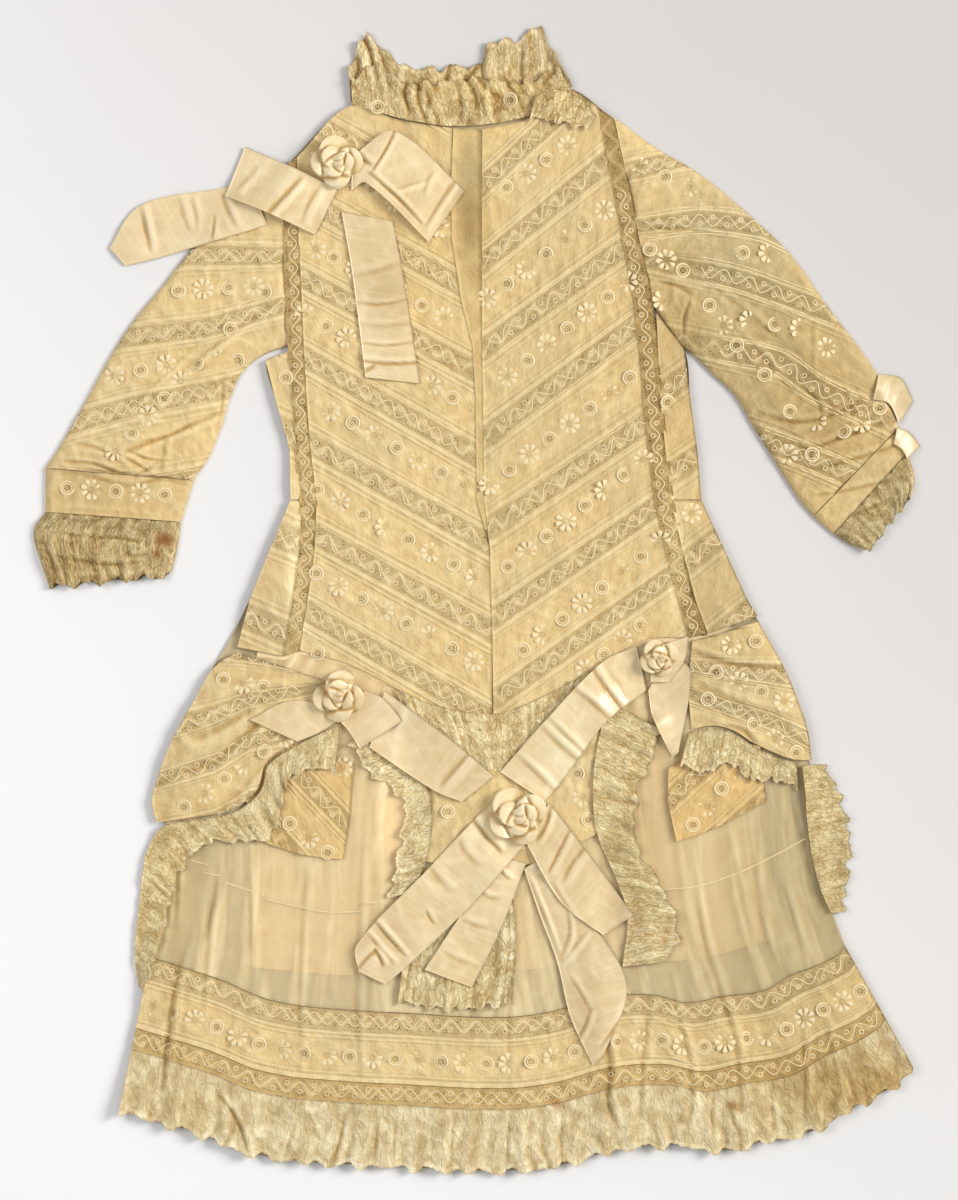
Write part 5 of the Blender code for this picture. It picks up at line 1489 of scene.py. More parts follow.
# The skirt front: one wide piece of sheer plain muslin, gathered into the waist, with
# soft upright pleats that run down into the hem and two narrow tucks on each side.
SKIRT_CREASES = (
    # through the muslin and the hem bands, from the waist side down
    (((-191, -221), (-198, -247), (-201, -266), (-205, -294), (-209, -329), (-211, -343)), 1.6, 1.5, 2.6),
    (((-169, -182), (-176, -207), (-178, -228), (-180, -257), (-183, -283)), 0.8, 0.8, 2.2),
    (((-153, -171), (-150, -207), (-149, -244), (-153, -283)), 0.8, 0.6, 2.6),
    (((-111, -171), (-115, -197), (-118, -272), (-117, -290), (-119, -320)), 0.7, 0.8, 2.2),
    (((-74, -118), (-77, -171), (-79, -221), (-80, -277), (-77, -326)), 1.0, 0.8, 2.6),
    (((-160, -263), (-162, -275), (-166, -303)), 0.4, 0.7, 2.0),
    (((22, -237), (21, -265), (20, -324)), 0.4, 0.8, 1.6),
    (((45, -270), (48, -310)), 0.4, 0.6, 1.8),
    (((83, -277), (87, -307), (86, -330), (93, -349)), 1.6, 1.6, 2.6),
    (((114, -257), (112, -273), (108, -311), (106, -358)), 1.0, 0.9, 2.4),
    (((125, -241), (130, -265), (141, -317), (136, -356)), 1.0, 0.9, 2.4),
    (((140, -184), (149, -224), (158, -254), (170, -292), (173, -334), (178, -355)), 1.2, 1.0, 2.6),
    (((180, -164), (188, -217), (198, -244)), 0.9, 0.7, 2.4),
    (((199, -184), (212, -226), (217, -247)), 0.7, 0.6, 2.4),
    (((211, -263), (214, -290), (215, -311), (215, -351)), 0.8, 0.9, 2.0),
    (((227, -270), (234, -303), (240, -333)), 0.7, 0.7, 2.2),
    (((-51, -197), (-50, -250)), 0.5, 0.4, 3.0),
    (((102, -164), (104, -211), (107, -250)), 0.8, 0.5, 3.0),
)
MUSLIN_CREASES = SKIRT_CREASES + (
    (((-170, -172), (-175, -202), (-179, -224)), 0.7, 1.0, 2.0),
    (((-195, -164), (-198, -184), (-199, -217)), 0.7, 1.0, 2.0),
    (((-203, -184), (-207, -217), (-216, -247)), 0.6, 0.9, 2.0),
    (((140, -161), (147, -211), (154, -254)), 0.7, 0.5, 2.4),
    (((163, -151), (174, -197), (181, -230)), 0.7, 0.5, 2.4),
    (((206, -131), (217, -171), (220, -197)), 0.6, 0.5, 2.4),
)


def pleats(count, depth, fade_from, fade_to, seed):
    """Fine uneven pleats from a gathered seam, sinking away down the cloth."""
    rule = np.random.default_rng(seed)
    waves = [
        (count * rule.uniform(0.5, 1.4), rule.uniform(0.0, 6.3), rule.uniform(0.4, 1.0)) for _ in range(5)
    ]

    def lift(u, v):
        total = sum(
            share * np.sin(2.0 * math.pi * k * u + shift + 0.8 * np.sin(3.0 * v + shift))
            for k, shift, share in waves
        )
        fade = np.clip((fade_to - v) / (fade_to - fade_from), 0.12, 1.0)
        return depth * total / 2.0 * fade

    return lift


top = (
    (-157.7, -33.1), (-128.0, -39.0), (-117.4, -35.1), (-81.1, -45.0), (-25.0, -74.0), (11.9, -79.3),
    (54.2, -61.5), (107.0, -29.1), (140.0, -26.2), (184.2, -12.3),
)
MUSLIN_TOP_LINE = hem_line_at(MUSLIN_END + SEAM / 2)
left = (
    (-157.7, -33.1), (-186.7, -65.4), (-201.3, -95.1), (-205.9, -124.8), (-204.6, -161.1),
    (-209.8, -197.4),
)
left += (tuple(MUSLIN_TOP_LINE(np.asarray(0.0))),)
right = ((184.2, -12.3), (200.7, -42.3), (210.6, -65.4), (216.5, -95.1), (220.5, -131.4), (224.4, -177.6))
right += (tuple(MUSLIN_TOP_LINE(np.asarray(1.0))),)
front_muslin = sheer("front muslin", (0.93, 0.77, 0.45), 0.34)
muslin = cloth(
    "skirt_muslin", patch(top, MUSLIN_TOP_LINE, left, right), (1.5, 3.2), front_muslin,
    lambda x, y, u, v: (u * 470.0, v * 260.0), MUSLIN_CREASES, ripple=0.2, thick=0.35,
    extra=pleats(30, 0.5, 0.1, 0.9, 3),
)
tucks = (
    ((-188.7, -171.0), (-178.2, -173.7)),
    ((-180.8, -178.9), (-170.2, -180.9)),
    ((-166.3, -185.5), (-140.5, -194.1)),
    ((-139.2, -196.8), (-101.6, -204.7), (-76.5, -204.7)),
    ((-74.5, -198.7), (-63.3, -198.7)),
    ((121.5, -190.2), (146.6, -187.5), (169.7, -179.6), (186.2, -172.3), (215.9, -156.5)),
)
lines = [[tuple(p) for p in sampled(line, 3.0)[0]] for line in tucks]
trims = [cords("skirt_tucks", lines, [muslin.name], 0.7, 0.5, rolled)]
sewn(
    muslin, "skirt_muslin",
)


# The hem: an embroidered batiste band between two lace insertions, and below them the
# wide gathered bobbin lace. All four share the long soft folds of the skirt.
def hem_strip(high, low):
    """Places on a band of the hem between two heights above the hem's edge."""
    return lambda u, v: hem_point(u, high + (low - high) * v)


def hem_map(high, low):
    """The map of a hem band, with the insertions' middle lines one band step apart."""
    return lambda x, y, u, v: (
        u * HEM_LENGTH, (UPPER_MIDDLE - (high + (low - high) * v)) / MIDDLES_APART * BAND_STEP
    )


def hem_run(up):
    """A line along the whole hem at one height above its edge."""
    return [tuple(p) for p in hem_point(np.linspace(0.004, 0.996, 60), up)]


def hem_insertion(word, high, low, line, tone=1.0):
    """A strip of lace insertion along the hem between two heights, with its cord along its middle line."""
    node = "hem_insertion_" + word
    strip = cloth(
        node, hem_strip(high, low), FINE, whitework, hem_map(high, low), SKIRT_CREASES, soft=2.5, tone=tone,
    )
    trims = [cords(f"hem_{word}_cords", insertion_cords([line]), [strip.name], CORD, SUNK, thread)]
    sewn(strip, node)


UPPER_LINE, LOWER_LINE = hem_run(UPPER_MIDDLE), hem_run(LOWER_MIDDLE)
hem_insertion("upper", MUSLIN_END, BAND_START, UPPER_LINE)
band = cloth(
    "hem_band", hem_strip(BAND_START, BAND_END), FINE, whitework, hem_map(BAND_START, BAND_END),
    SKIRT_CREASES, soft=2.5,
)
gone = np.linspace(0.015, 0.985, 34)
spots = hem_point(gone, ROW_MIDDLE)
rows = tuple((tuple(p), tuple(p), 1, k % 2) for k, p in enumerate(spots))
trims = motifs("hem_band", rows, [band.name])
tucks = edge_lines([UPPER_LINE, LOWER_LINE], (-8.9, 8.9))
trims.append(cords("hem_band_tucks", tucks, [band.name], ROLL, ROLL_SUNK, rolled))
sewn(band, "hem_band")
hem_insertion("lower", BAND_END, LACE_START, LOWER_LINE, (0.98, 0.92, 0.8))

HEM_LACE_CREASES = SKIRT_CREASES + (
    (((-174, -322), (-159, -341), (-149, -370)), 1.0, 1.5, 1.8),
    (((-120, -343), (-123, -353), (-128, -369)), 0.8, 1.3, 1.6),
    (((-87, -335), (-90, -353), (-96, -372)), 0.8, 1.3, 1.6),
    (((-66, -339), (-67, -356), (-69, -374)), 0.6, 1.1, 1.6),
    (((-54, -337), (-55, -356), (-57, -374)), 0.6, 1.1, 1.6),
    (((-15, -336), (-17, -356), (-18, -376)), 0.6, 0.9, 1.8),
    (((22, -333), (20, -353), (19, -376)), 0.6, 1.1, 1.6),
    (((56, -336), (55, -353), (56, -372)), 0.8, 1.1, 1.6),
    (((156, -323), (154, -343), (157, -362)), 0.6, 1.0, 1.6),
    (((193, -320), (194, -336), (197, -355)), 0.6, 1.0, 1.6),
    (((240, -313), (243, -326), (246, -337)), 0.8, 1.2, 1.6),
    (((259, -303), (263, -316), (268, -325)), 0.6, 1.0, 1.6),
)
edge = scalloped(lambda u, v: hem_point(u, LACE_START * (1.0 - v)), 30, 1.6)
lace = cloth(
    "hem_lace_front", edge, (1.3, 1.6), hem_net, lace_map(820.0, 41.0), HEM_LACE_CREASES, soft=1.5,
    extra=gathers(34, 2.0, start=0.1),
)
sewn(lace, "hem_lace_front")


# The two embroidered patches of the yoke that show under the hip drapes, and the
# drapes over them: soft swags of tucked batiste with insertion, caught up at the hips.
BANDS_YOKE_LEFT = (
    ((-120.7, -56.2), (-87.7, -90.5)),
    ((-120.7, -111.6), (-87.7, -145.9)),
    ((-120.7, -167.1), (-87.7, -201.4)),
)
BANDS_YOKE_RIGHT = (
    ((125.4, -76.0), (146.6, -56.2), (173.0, -33.1)),
    ((125.4, -131.4), (146.6, -111.6), (173.0, -88.5)),
    ((125.4, -186.9), (146.6, -167.1), (173.0, -144.0)),
)
warm = (1.0, 0.93, 0.82)
top = ((-157.0, -114.9), (-124.0, -93.1), (-81.8, -107.7))
bottom = ((-147.1, -156.5), (-117.4, -166.4), (-88.4, -170.4))
left = ((-157.0, -114.9), (-151.8, -134.7), (-147.1, -156.5))
right = ((-81.8, -107.7), (-83.8, -138.0), (-88.4, -170.4))
yoke = cloth(
    "yoke_left", patch(top, bottom, left, right), FINE, whitework, banded(BANDS_YOKE_LEFT),
    soft=2.5, tone=warm,
)
rows = (((-124.0, -146.6), (-99.0, -165.7), 3, 1), ((-89.1, -109.6), (-89.1, -109.6), 1, 0))
worked(yoke, "yoke_left", BANDS_YOKE_LEFT, rows)
top = ((125.4, -110.3), (153.2, -91.8), (186.2, -95.1))
bottom = ((130.7, -158.5), (155.1, -149.9), (190.1, -131.4))
left = ((125.4, -110.3), (125.4, -131.4), (130.7, -158.5))
right = ((186.2, -95.1), (187.5, -111.6), (190.1, -131.4))
yoke = cloth(
    "yoke_right", patch(top, bottom, left, right), FINE, whitework, banded(BANDS_YOKE_RIGHT),
    soft=2.5, tone=warm,
)
rows = (((169.7, -111.6), (141.3, -147.3), 4, 0),)
worked(yoke, "yoke_right", BANDS_YOKE_RIGHT, rows)

BANDS_DRAPE_LEFT = (
    ((-196.6, -25.8), (-157.0, -33.7), (-117.4, -44.3)),
    ((-209.8, -88.5), (-173.5, -75.3), (-150.4, -65.4), (-117.4, -58.8)),
    ((-209.8, -117.6), (-173.5, -106.3), (-150.4, -91.8), (-117.4, -86.5)),
    ((-209.8, -151.2), (-173.5, -144.6), (-150.4, -131.4), (-117.4, -124.8)),
)
BANDS_DRAPE_RIGHT = (
    ((120.8, -20.5), (152.5, -12.6), (174.9, -7.3), (199.4, 0.6)),
    ((120.8, -40.3), (169.7, -46.9), (206.6, -50.2), (219.2, -52.2)),
    ((146.6, -63.4), (168.3, -71.4), (192.8, -79.9), (217.8, -92.5)),
    ((140.0, -91.8), (173.0, -99.7), (206.0, -113.6), (222.5, -121.5)),
)
top = ((-96.3, -54.9), (-115.5, -47.6), (-137.2, -40.3), (-159.0, -33.7))
bottom = (
    (-91.7, -79.9), (-116.8, -91.2), (-138.6, -105.7), (-145.2, -124.2), (-162.3, -137.4),
    (-189.4, -142.6), (-211.8, -145.9),
)
hip = ((-96.3, -54.9), (-91.7, -79.9))
side = (
    (-159.0, -33.7), (-173.5, -43.6), (-186.7, -65.4), (-201.3, -91.8), (-209.2, -111.6),
    (-214.5, -131.4), (-211.8, -145.9),
)
creases = (
    (((-143, -67), (-162, -80), (-189, -93)), 1.1, 1.3, 2.8),
    (((-124, -65), (-159, -94), (-174, -107), (-198, -114), (-212, -122)), 1.2, 1.4, 2.8),
    (((-139, -105), (-157, -126), (-176, -143)), 0.8, 0.9, 2.4),
    (((-111, -59), (-143, -80), (-169, -100)), 0.7, 0.7, 2.6),
    (((-117, -50), (-143, -50), (-174, -59)), 0.6, 0.5, 3.0),
)
drape = cloth(
    "drape_left", patch(top, bottom, hip, side), (1.6, 1.6), whitework, banded(BANDS_DRAPE_LEFT),
    creases, soft=3.0,
)
rows = (
    ((-167.6, -51.9), (-141.2, -56.6), 3, 1),
    ((-127.3, -89.8), (-193.3, -135.4), 6, 0),
    ((-101.6, -65.4), (-101.6, -65.4), 1, 1),
)
worked(drape, "drape_left", BANDS_DRAPE_LEFT, rows)

top = ((141.3, -26.5), (159.8, -21.9), (184.2, -13.0))
bottom = ((140.6, -84.6), (155.1, -81.9), (168.3, -85.2), (182.2, -93.8), (206.0, -103.7), (219.8, -105.0))
hip = ((141.3, -26.5), (138.6, -55.5), (140.6, -84.6))
side = ((184.2, -13.0), (200.7, -42.3), (210.6, -65.4), (217.2, -85.2), (219.8, -105.0))
creases = (
    (((137, -32), (170, -42), (209, -44)), 1.0, 1.6, 2.4),
    (((154, -81), (174, -85), (185, -96), (204, -103)), 1.0, 1.3, 2.2),
    (((140, -52), (166, -65), (213, -79)), 0.8, 0.8, 3.0),
    (((141, -65), (160, -73), (186, -89)), 0.6, 0.7, 2.6),
)
drape = cloth(
    "drape_right", patch(top, bottom, hip, side), (1.6, 1.6), whitework, banded(BANDS_DRAPE_RIGHT),
    creases, soft=3.0,
)
rows = (
    ((166.7, -28.5), (182.9, -26.5), 2, 0),
    ((156.5, -46.9), (201.3, -66.1), 4, 1),
    ((151.2, -64.8), (151.2, -64.8), 1, 1),
    ((181.5, -81.3), (209.3, -99.7), 3, 1),
)
worked(drape, "drape_right", BANDS_DRAPE_RIGHT, rows)


# The lace ruffles of the drapes, the apron and the waist: one narrow bobbin lace,
# gathered along the drapes' lower edges, round the apron and under the bodice's point.
ruffle_net = bobbin_lace("ruffle lace", (1.0, 0.85, 0.5), (0.55, 0.37, 0.13), 18.0, 24.0, 0.94, 0.5)
for name, seam, free, count in (
    ("drape_lace_left", (
        (-90.4, -81.3), (-115.5, -93.1), (-137.2, -107.7), (-143.2, -125.5), (-161.0, -139.3),
        (-188.7, -144.6), (-207.2, -148.6), (-217.8, -164.4), (-223.0, -197.4), (-226.3, -235.0),
        (-223.7, -253.5)
    ), (
        (-93.7, -111.6), (-110.8, -110.3), (-124.0, -116.9), (-129.3, -136.7), (-137.2, -155.2),
        (-158.4, -157.8), (-178.2, -159.1), (-195.3, -176.3), (-203.2, -201.4), (-213.1, -235.0),
        (-220.4, -258.1)
    ), 18),
    ("drape_lace_right", (
        (139.3, -85.9), (155.1, -83.6), (168.3, -86.9), (180.9, -95.1), (192.8, -101.1), (209.9, -107.0)
    ), (
        (133.4, -106.3), (147.9, -112.9), (165.0, -106.3), (179.6, -116.9), (195.4, -117.6), (210.6, -122.2)
    ), 11),
    ("drape_lace_side", (
        (213.2, -107.7), (215.2, -124.8), (216.5, -144.6), (219.8, -167.7), (225.8, -190.8), (232.4, -205.3)
    ), (
        (227.1, -107.7), (236.3, -123.5), (242.3, -143.3), (244.9, -159.1), (242.9, -184.2), (240.3, -205.3)
    ), 8),
    ("apron_lace_left", (
        (-69.9, -88.5), (-43.5, -110.3), (-31.6, -128.1), (-31.6, -162.4), (-42.2, -190.8)
    ), (
        (-83.1, -93.1), (-72.6, -111.0), (-48.8, -131.4), (-50.8, -159.1), (-58.0, -195.4)
    ), 8),
    ("apron_lace_right", (
        (85.8, -65.4), (78.6, -95.1), (75.9, -117.6), (77.9, -151.2), (91.8, -184.9), (98.4, -207.3),
        (95.1, -241.0)
    ), (
        (118.8, -83.9), (114.9, -103.0), (105.6, -121.5), (103.7, -159.1), (121.5, -189.5),
        (132.0, -218.5), (122.8, -237.0)
    ), 10),
):
    place = scalloped(turned(between(seam, free)), count, 1.2)
    long = run(seam)
    lace = cloth(
        name, place, (1.2, 1.5), ruffle_net, lace_map(long * 1.7, 24.0), soft=1.2,
        extra=gathers(count * 1.4, 1.7, start=0.35),
    )
    sewn(lace, name)

top = ((-48.1, -65.4), (-25.0, -79.9), (14.6, -83.9), (54.2, -67.4), (84.5, -49.6))
bottom = ((-43.5, -169.7), (-5.2, -176.3), (27.8, -175.0), (77.9, -153.9))
left = ((-48.1, -65.4), (-35.6, -118.2), (-43.5, -169.7))
right = ((84.5, -49.6), (80.6, -91.8), (77.9, -153.9))
apron = cloth(
    "apron_centre", patch(top, bottom, left, right), (2.0, 2.0), batiste, soft=2.5,
    extra=pleats(18, 0.4, 0.0, 1.0, 5),
)
rows = (((-19.8, -138.7), (-19.8, -138.7), 1, 1), ((65.4, -113.6), (72.6, -144.0), 3, 1))
trims = motifs("apron_centre", rows, [apron.name])
sewn(apron, "apron_centre")

top = ((-30.3, -178.9), (-5.2, -180.3), (21.8, -178.9))
bottom = ((-52.1, -262.8), (-25.0, -268.0), (1.4, -267.4), (22.5, -264.7))
left = ((-30.3, -178.9), (-46.2, -223.8), (-52.1, -262.8))
right = ((21.8, -178.9), (25.1, -223.8), (22.5, -264.7))
apron_net = bobbin_lace("apron lace", (1.0, 0.86, 0.53), (0.50, 0.34, 0.12), 24.0, 70.0, 0.92, 0.42)
lace = cloth(
    "apron_lace_mid", scalloped(patch(top, bottom, left, right), 7, 1.5), (1.4, 1.6), apron_net,
    lace_map(110.0, 85.0), soft=1.5, extra=gathers(10, 1.8, start=0.3),
)
sewn(lace, "apron_lace_mid")
top = ((-55.4, -57.5), (-25.0, -69.4), (12.6, -74.0), (54.2, -57.5), (83.2, -40.3))
bottom = ((-39.6, -89.2), (-11.8, -103.0), (15.9, -111.6), (44.3, -93.1), (77.9, -69.4))
left = ((-55.4, -57.5), (-39.6, -89.2))
right = ((83.2, -40.3), (77.9, -69.4))
lace = cloth(
    "waist_lace", patch(top, bottom, left, right), (1.2, 1.5), ruffle_net, lace_map(230.0, 34.0), soft=1.2,
    extra=gathers(15, 1.8, start=0.7), over=(apron.name, "front_left_cloth", "front_right_cloth"),
)
sewn(lace, "waist_lace")


# The collar: a standing ruffle of bobbin lace gathered into the neck, pressed flat so
# that its back half fans out above and its front half lies over it, and a short spray
# of the same lace on the right shoulder.
collar_net = bobbin_lace("collar lace", (1.0, 0.83, 0.49), (0.48, 0.31, 0.1), 22.0, 40.0, 0.95, 0.5)
seam = ((-83.8, 329.3), (-54.7, 324.0), (1.4, 321.3), (52.8, 330.6), (62.1, 339.5))
free = (
    (-85.1, 349.1), (-73.9, 372.2), (-54.7, 356.3), (-38.2, 350.4), (-18.4, 351.7), (0.0, 353.0),
    (9.3, 368.9), (26.4, 368.9), (38.3, 378.8), (49.5, 362.3), (58.1, 347.7),
)
creases = (
    (((-53, 356), (-55, 341), (-57, 325)), 0.9, 1.2, 2.0),
    (((4, 366), (3, 344), (4, 324)), 0.8, 1.2, 2.0),
    (((30, 368), (29, 350), (32, 331)), 0.7, 1.0, 2.0),
)
lace = cloth(
    "collar_back", scalloped(turned(between(seam, free)), 13, 1.6), (1.1, 1.4), collar_net,
    lace_map(330.0, 40.0), creases, soft=1.2, extra=gathers(9, 3.0, start=0.5), shade_depth=0.25,
)
sewn(lace, "collar_back")
seam = ((-83.1, 327.3), (-51.4, 318.0), (-15.1, 312.8), (33.0, 319.4), (61.4, 337.8))
free = (
    (-83.1, 341.1), (-68.6, 353.0), (-48.1, 341.1), (-25.0, 341.1), (1.4, 343.8), (29.1, 341.1),
    (54.2, 350.4),
)
creases = (
    (((-49, 341), (-47, 331), (-45, 317)), 0.8, 1.3, 1.8),
    (((-34, 341), (-33, 327), (-36, 315)), 0.8, 1.3, 1.8),
    (((-14, 341), (-11, 327), (-13, 313)), 0.8, 1.3, 1.8),
    (((4, 344), (3, 331), (5, 316)), 0.9, 1.4, 2.0),
)
lace = cloth(
    "collar_front", scalloped(turned(between(seam, free)), 13, 1.4), (1.1, 1.4), collar_net,
    lace_map(330.0, 30.0), creases, soft=1.2, extra=gathers(12, 3.0, start=0.5, seed=6), shade_depth=0.22,
)
rows = (((21.2, 329.9), (21.2, 329.9), 1, 1), ((-66.0, 325.3), (-66.0, 325.3), 1, 1))
trims = motifs("collar_front", rows, [lace.name])
sewn(lace, "collar_front")
edge_a = ((38.3, 333.2), (54.2, 335.9), (67.4, 330.6), (77.9, 318.7))
edge_b = ((34.4, 318.7), (48.9, 316.1), (62.1, 313.4), (72.6, 310.8))
lace = cloth(
    "collar_spray", scalloped(turned(between(edge_a, edge_b)), 4, 1.2), (1.0, 1.2), collar_net,
    lace_map(70.0, 18.0), soft=1.0, extra=gathers(9, 1.2, start=0.5),
)
sewn(lace, "collar_spray")


# The bows: broad satin ribbon in rosettes, loops, tails and flat swags, sewn on the
# left shoulder, at both hips and at the centre, and two short ends on the right sleeve.
satin = Finish("satin", Roughness=0.36, Specular_IOR_Level=0.5)
along, across = satin.mapped()
streaks = satin.noise(satin.vector(along * 1.1, across * 0.03), 1.0, 3.0, 0.6)
clouds = satin.noise(satin.node("TexCoord", output=3), 22.0, 2.0)
# Painted sheen: streaks along the ribbon and broad clouds lighten and darken its colour in place of
# highlights.
satin_sheen_colour = satin.blend(streaks * 0.9 + clouds * 1.2 - 0.52, (0.66, 0.48, 0.24, 1), (0.93, 0.76, 0.47, 1))
satin.feed(Base_Color=satin.tinted(satin_sheen_colour), Roughness=0.22 + streaks * 0.18)
satin.relief(streaks * 0.08 + satin.noise(satin.vector(along, across * 0.4), 0.07, 2.0) * 0.7)


def ribbon_map(width, length):
    """Millimetres along the ribbon and across it."""
    return lambda x, y, u, v: (v * length, u * width)


def ribbon(node, edge_a, edge_b, creases, step=(1.2, 1.2)):
    """A length of ribbon between its two edges, with its folds across it."""
    length = (run(edge_a) + run(edge_b)) / 2
    width = math.dist(edge_a[0], edge_b[0])
    made = cloth(
        node, between(edge_a, edge_b), step, satin, ribbon_map(width, length), creases, ripple=0.12, soft=2.0,
        thick=0.45, shade_depth=0.2,
    )
    sewn(made, node)


def rosette(node, centre, radius, start):
    """A rose of ribbon: four outer and three inner petals folded over one another round a small bud."""
    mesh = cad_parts[node].data
    low = min(v.co.z for v in mesh.vertices) * PER_METRE
    high = max(v.co.z for v in mesh.vertices) * PER_METRE
    petals = [(0.0, 0.0, 0.24, 0.93, 0.0)]
    for count, away, reach, level in ((4, 0.44, 0.54, 0.5), (3, 0.24, 0.38, 0.76)):
        for k in range(count):
            turn = start + 2.0 * math.pi * (k + 0.13 * math.sin(5.0 * k + start)) / count + 2.1 * level
            uneven = reach * (1.0 + 0.09 * math.sin(7.0 * k + 3.0 * start))
            petals.append(
                (away * math.cos(turn), away * math.sin(turn), uneven, level + 0.04 * k, turn + 1.2)
            )
    rings, around = 36, 96
    turn = np.linspace(0.0, 2.0 * math.pi, around, endpoint=False)[None, :]
    tries = np.linspace(0.0, 1.05, 120)[:, None]
    held = np.zeros((120, around), bool)
    for px, py, reach, _, _ in petals:
        held |= np.hypot(tries * np.cos(turn) - px, tries * np.sin(turn) - py) < reach
    edge = np.where(held, tries, 0.0).max(axis=0)[None, :]
    r = np.linspace(0.015, 1.0, rings)[:, None] * edge
    x, y = r * np.cos(turn), r * np.sin(turn)
    z = np.zeros_like(x)
    for px, py, reach, level, tilt in petals:
        dx, dy = (x - px) / reach, (y - py) / reach
        away = np.hypot(dx, dy)
        slope = dx * math.cos(tilt) + dy * math.sin(tilt)
        dip = np.exp(-(((dx * math.sin(tilt) - dy * math.cos(tilt) + 0.3 * slope**2) / 0.15) ** 2))
        here = level - 0.13 * away**2 + 0.21 * slope - 0.15 * dip
        z = np.where(away < 1.0, np.maximum(z, here), z)
    z = softened(z, 0.5, 0.5)
    # Painted shade in the gaps between the petals.
    wear_and_shade = (z - softened(z, 2.5, 2.5)) * 75.0
    z = low + (high - low) * np.maximum(z, 0.12)
    z[-1] = low + 0.8
    top = np.stack([centre[0] + radius * x, centre[1] + radius * y, z], axis=-1)
    inner = np.stack([centre[0] + 0.97 * radius * x, centre[1] + 0.97 * radius * y, z - THICK], axis=-1)
    mapping = np.stack([radius * x + 3.0 * z, radius * y], axis=-1)
    made = shell(node + "_cloth", top, inner, mapping, 1.0, satin, wear_and_shade, wrapped=True)
    SPANS[made.name] = (2.0 * radius, 2.0 * radius)
    sewn(made, node)


creases = (
    (((-222, 261), (-219, 245), (-215, 229)), 1.0, 1.1, 2.2),
    (((-197, 266), (-194, 255), (-190, 243)), 0.4, 0.6, 2.6),
    (((-189, 267), (-186, 255), (-185, 245)), 0.3, 0.5, 2.0),
    (((-173, 255), (-174, 246), (-175, 237)), 0.3, 1.0, 1.3),
    (((-169, 270), (-165, 258), (-158, 245)), 0.5, 0.7, 2.2),
)
ribbon(
    "shoulder_tail_side",
    ((-150.4, 275.1), (-168.3, 272.5), (-223.0, 260.6), (-242.8, 232.9)),
    ((-138.6, 247.4), (-166.9, 238.8), (-213.1, 225.6), (-232.3, 221.0)),
    creases,
)
creases = (
    (((-84, 197), (-65, 195), (-44, 199)), 0.3, 0.9, 1.2),
    (((-86, 213), (-67, 217), (-47, 224)), 0.2, 0.4, 2.6),
    (((-78, 170), (-61, 168), (-38, 171)), 0.3, 0.8, 1.4),
    (((-80, 182), (-62, 181), (-41, 183)), 0.2, 0.4, 2.0),
    (((-79, 158), (-58, 156), (-36, 157)), 0.9, 1.6, 1.5),
    (((-77, 150), (-73, 152), (-67, 155)), 0.3, 1.4, 1.8),
)
ribbon(
    "shoulder_tail_down",
    ((-89.7, 256.0), (-83.1, 218.4), (-73.9, 147.1)),
    ((-56.1, 250.1), (-48.8, 211.8), (-38.2, 143.1)),
    creases,
)
creases = (
    (((-115, 279), (-127, 266), (-141, 251)), 1.2, 1.4, 2.2),
    (((-103, 274), (-111, 261), (-116, 247)), 0.6, 0.7, 2.4),
    (((-145, 288), (-152, 278), (-160, 270)), 0.3, 0.6, 2.4),
    (((-164, 263), (-150, 257), (-124, 245)), 0.3, 0.9, 1.4),
)
ribbon(
    "shoulder_loop_left",
    ((-92.4, 270.5), (-117.4, 283.1), (-153.7, 299.6)),
    ((-106.9, 240.8), (-137.2, 254.7), (-166.3, 266.6)),
    creases,
)
creases = (
    (((-13, 279), (-24, 263), (-35, 245)), 1.2, 1.2, 1.6),
    (((-29, 283), (-33, 276), (-36, 266)), 0.6, 0.7, 1.5),
    (((-33, 277), (-45, 273), (-57, 269)), 0.7, 0.5, 1.5),
    (((-53, 312), (-61, 296), (-71, 280)), 0.6, 1.5, 1.4),
    (((-73, 283), (-53, 265), (-36, 247)), 0.7, 1.8, 1.4),
    (((-82, 298), (-75, 290), (-69, 286)), 0.9, 1.5, 1.8),
)
ribbon(
    "shoulder_loop_right",
    ((-83.1, 292.3), (-54.7, 308.8), (-8.5, 269.9)),
    ((-83.1, 269.9), (-73.9, 275.1), (-32.3, 236.2)),
    creases,
)
rosette("shoulder_rosette", (-92.4, 288.3), 17.8, 0.6)

ribbon(
    "hip_tab_left_side",
    ((-102.9, -68.1), (-124.0, -65.4), (-149.8, -78.0)),
    ((-93.7, -79.9), (-105.6, -87.2), (-118.8, -92.5)),
    (),
)
creases = (
    (((-3, -97), (-14, -110), (-26, -124)), 0.9, 0.9, 2.8),
    (((-51, -65), (-57, -85), (-59, -100)), 0.4, 0.3, 4.0),
)
ribbon(
    "swag_left",
    ((-61.3, -58.8), (-18.4, -90.5), (10.6, -114.9)),
    ((-71.2, -96.4), (-28.3, -124.8), (-10.5, -132.1)),
    creases,
)
ribbon(
    "hip_tab_left_front",
    ((-73.9, -58.8), (-62.0, -64.1), (-49.5, -78.6)),
    ((-92.4, -77.3), (-84.4, -86.5), (-77.8, -97.1)),
    (),
)
rosette("hip_rosette_left", (-92.4, -62.8), 17.2, 2.0)
ribbon(
    "hip_tab_right_front",
    ((128.1, -32.4), (140.0, -46.9), (132.0, -99.7)),
    ((112.2, -58.8), (114.9, -76.0), (128.1, -103.0)),
    (),
)
ribbon(
    "hip_tab_right_side",
    ((138.6, -23.2), (136.0, -39.0), (125.4, -53.5)),
    ((122.8, -28.5), (114.9, -40.3), (113.6, -53.5)),
    (),
)
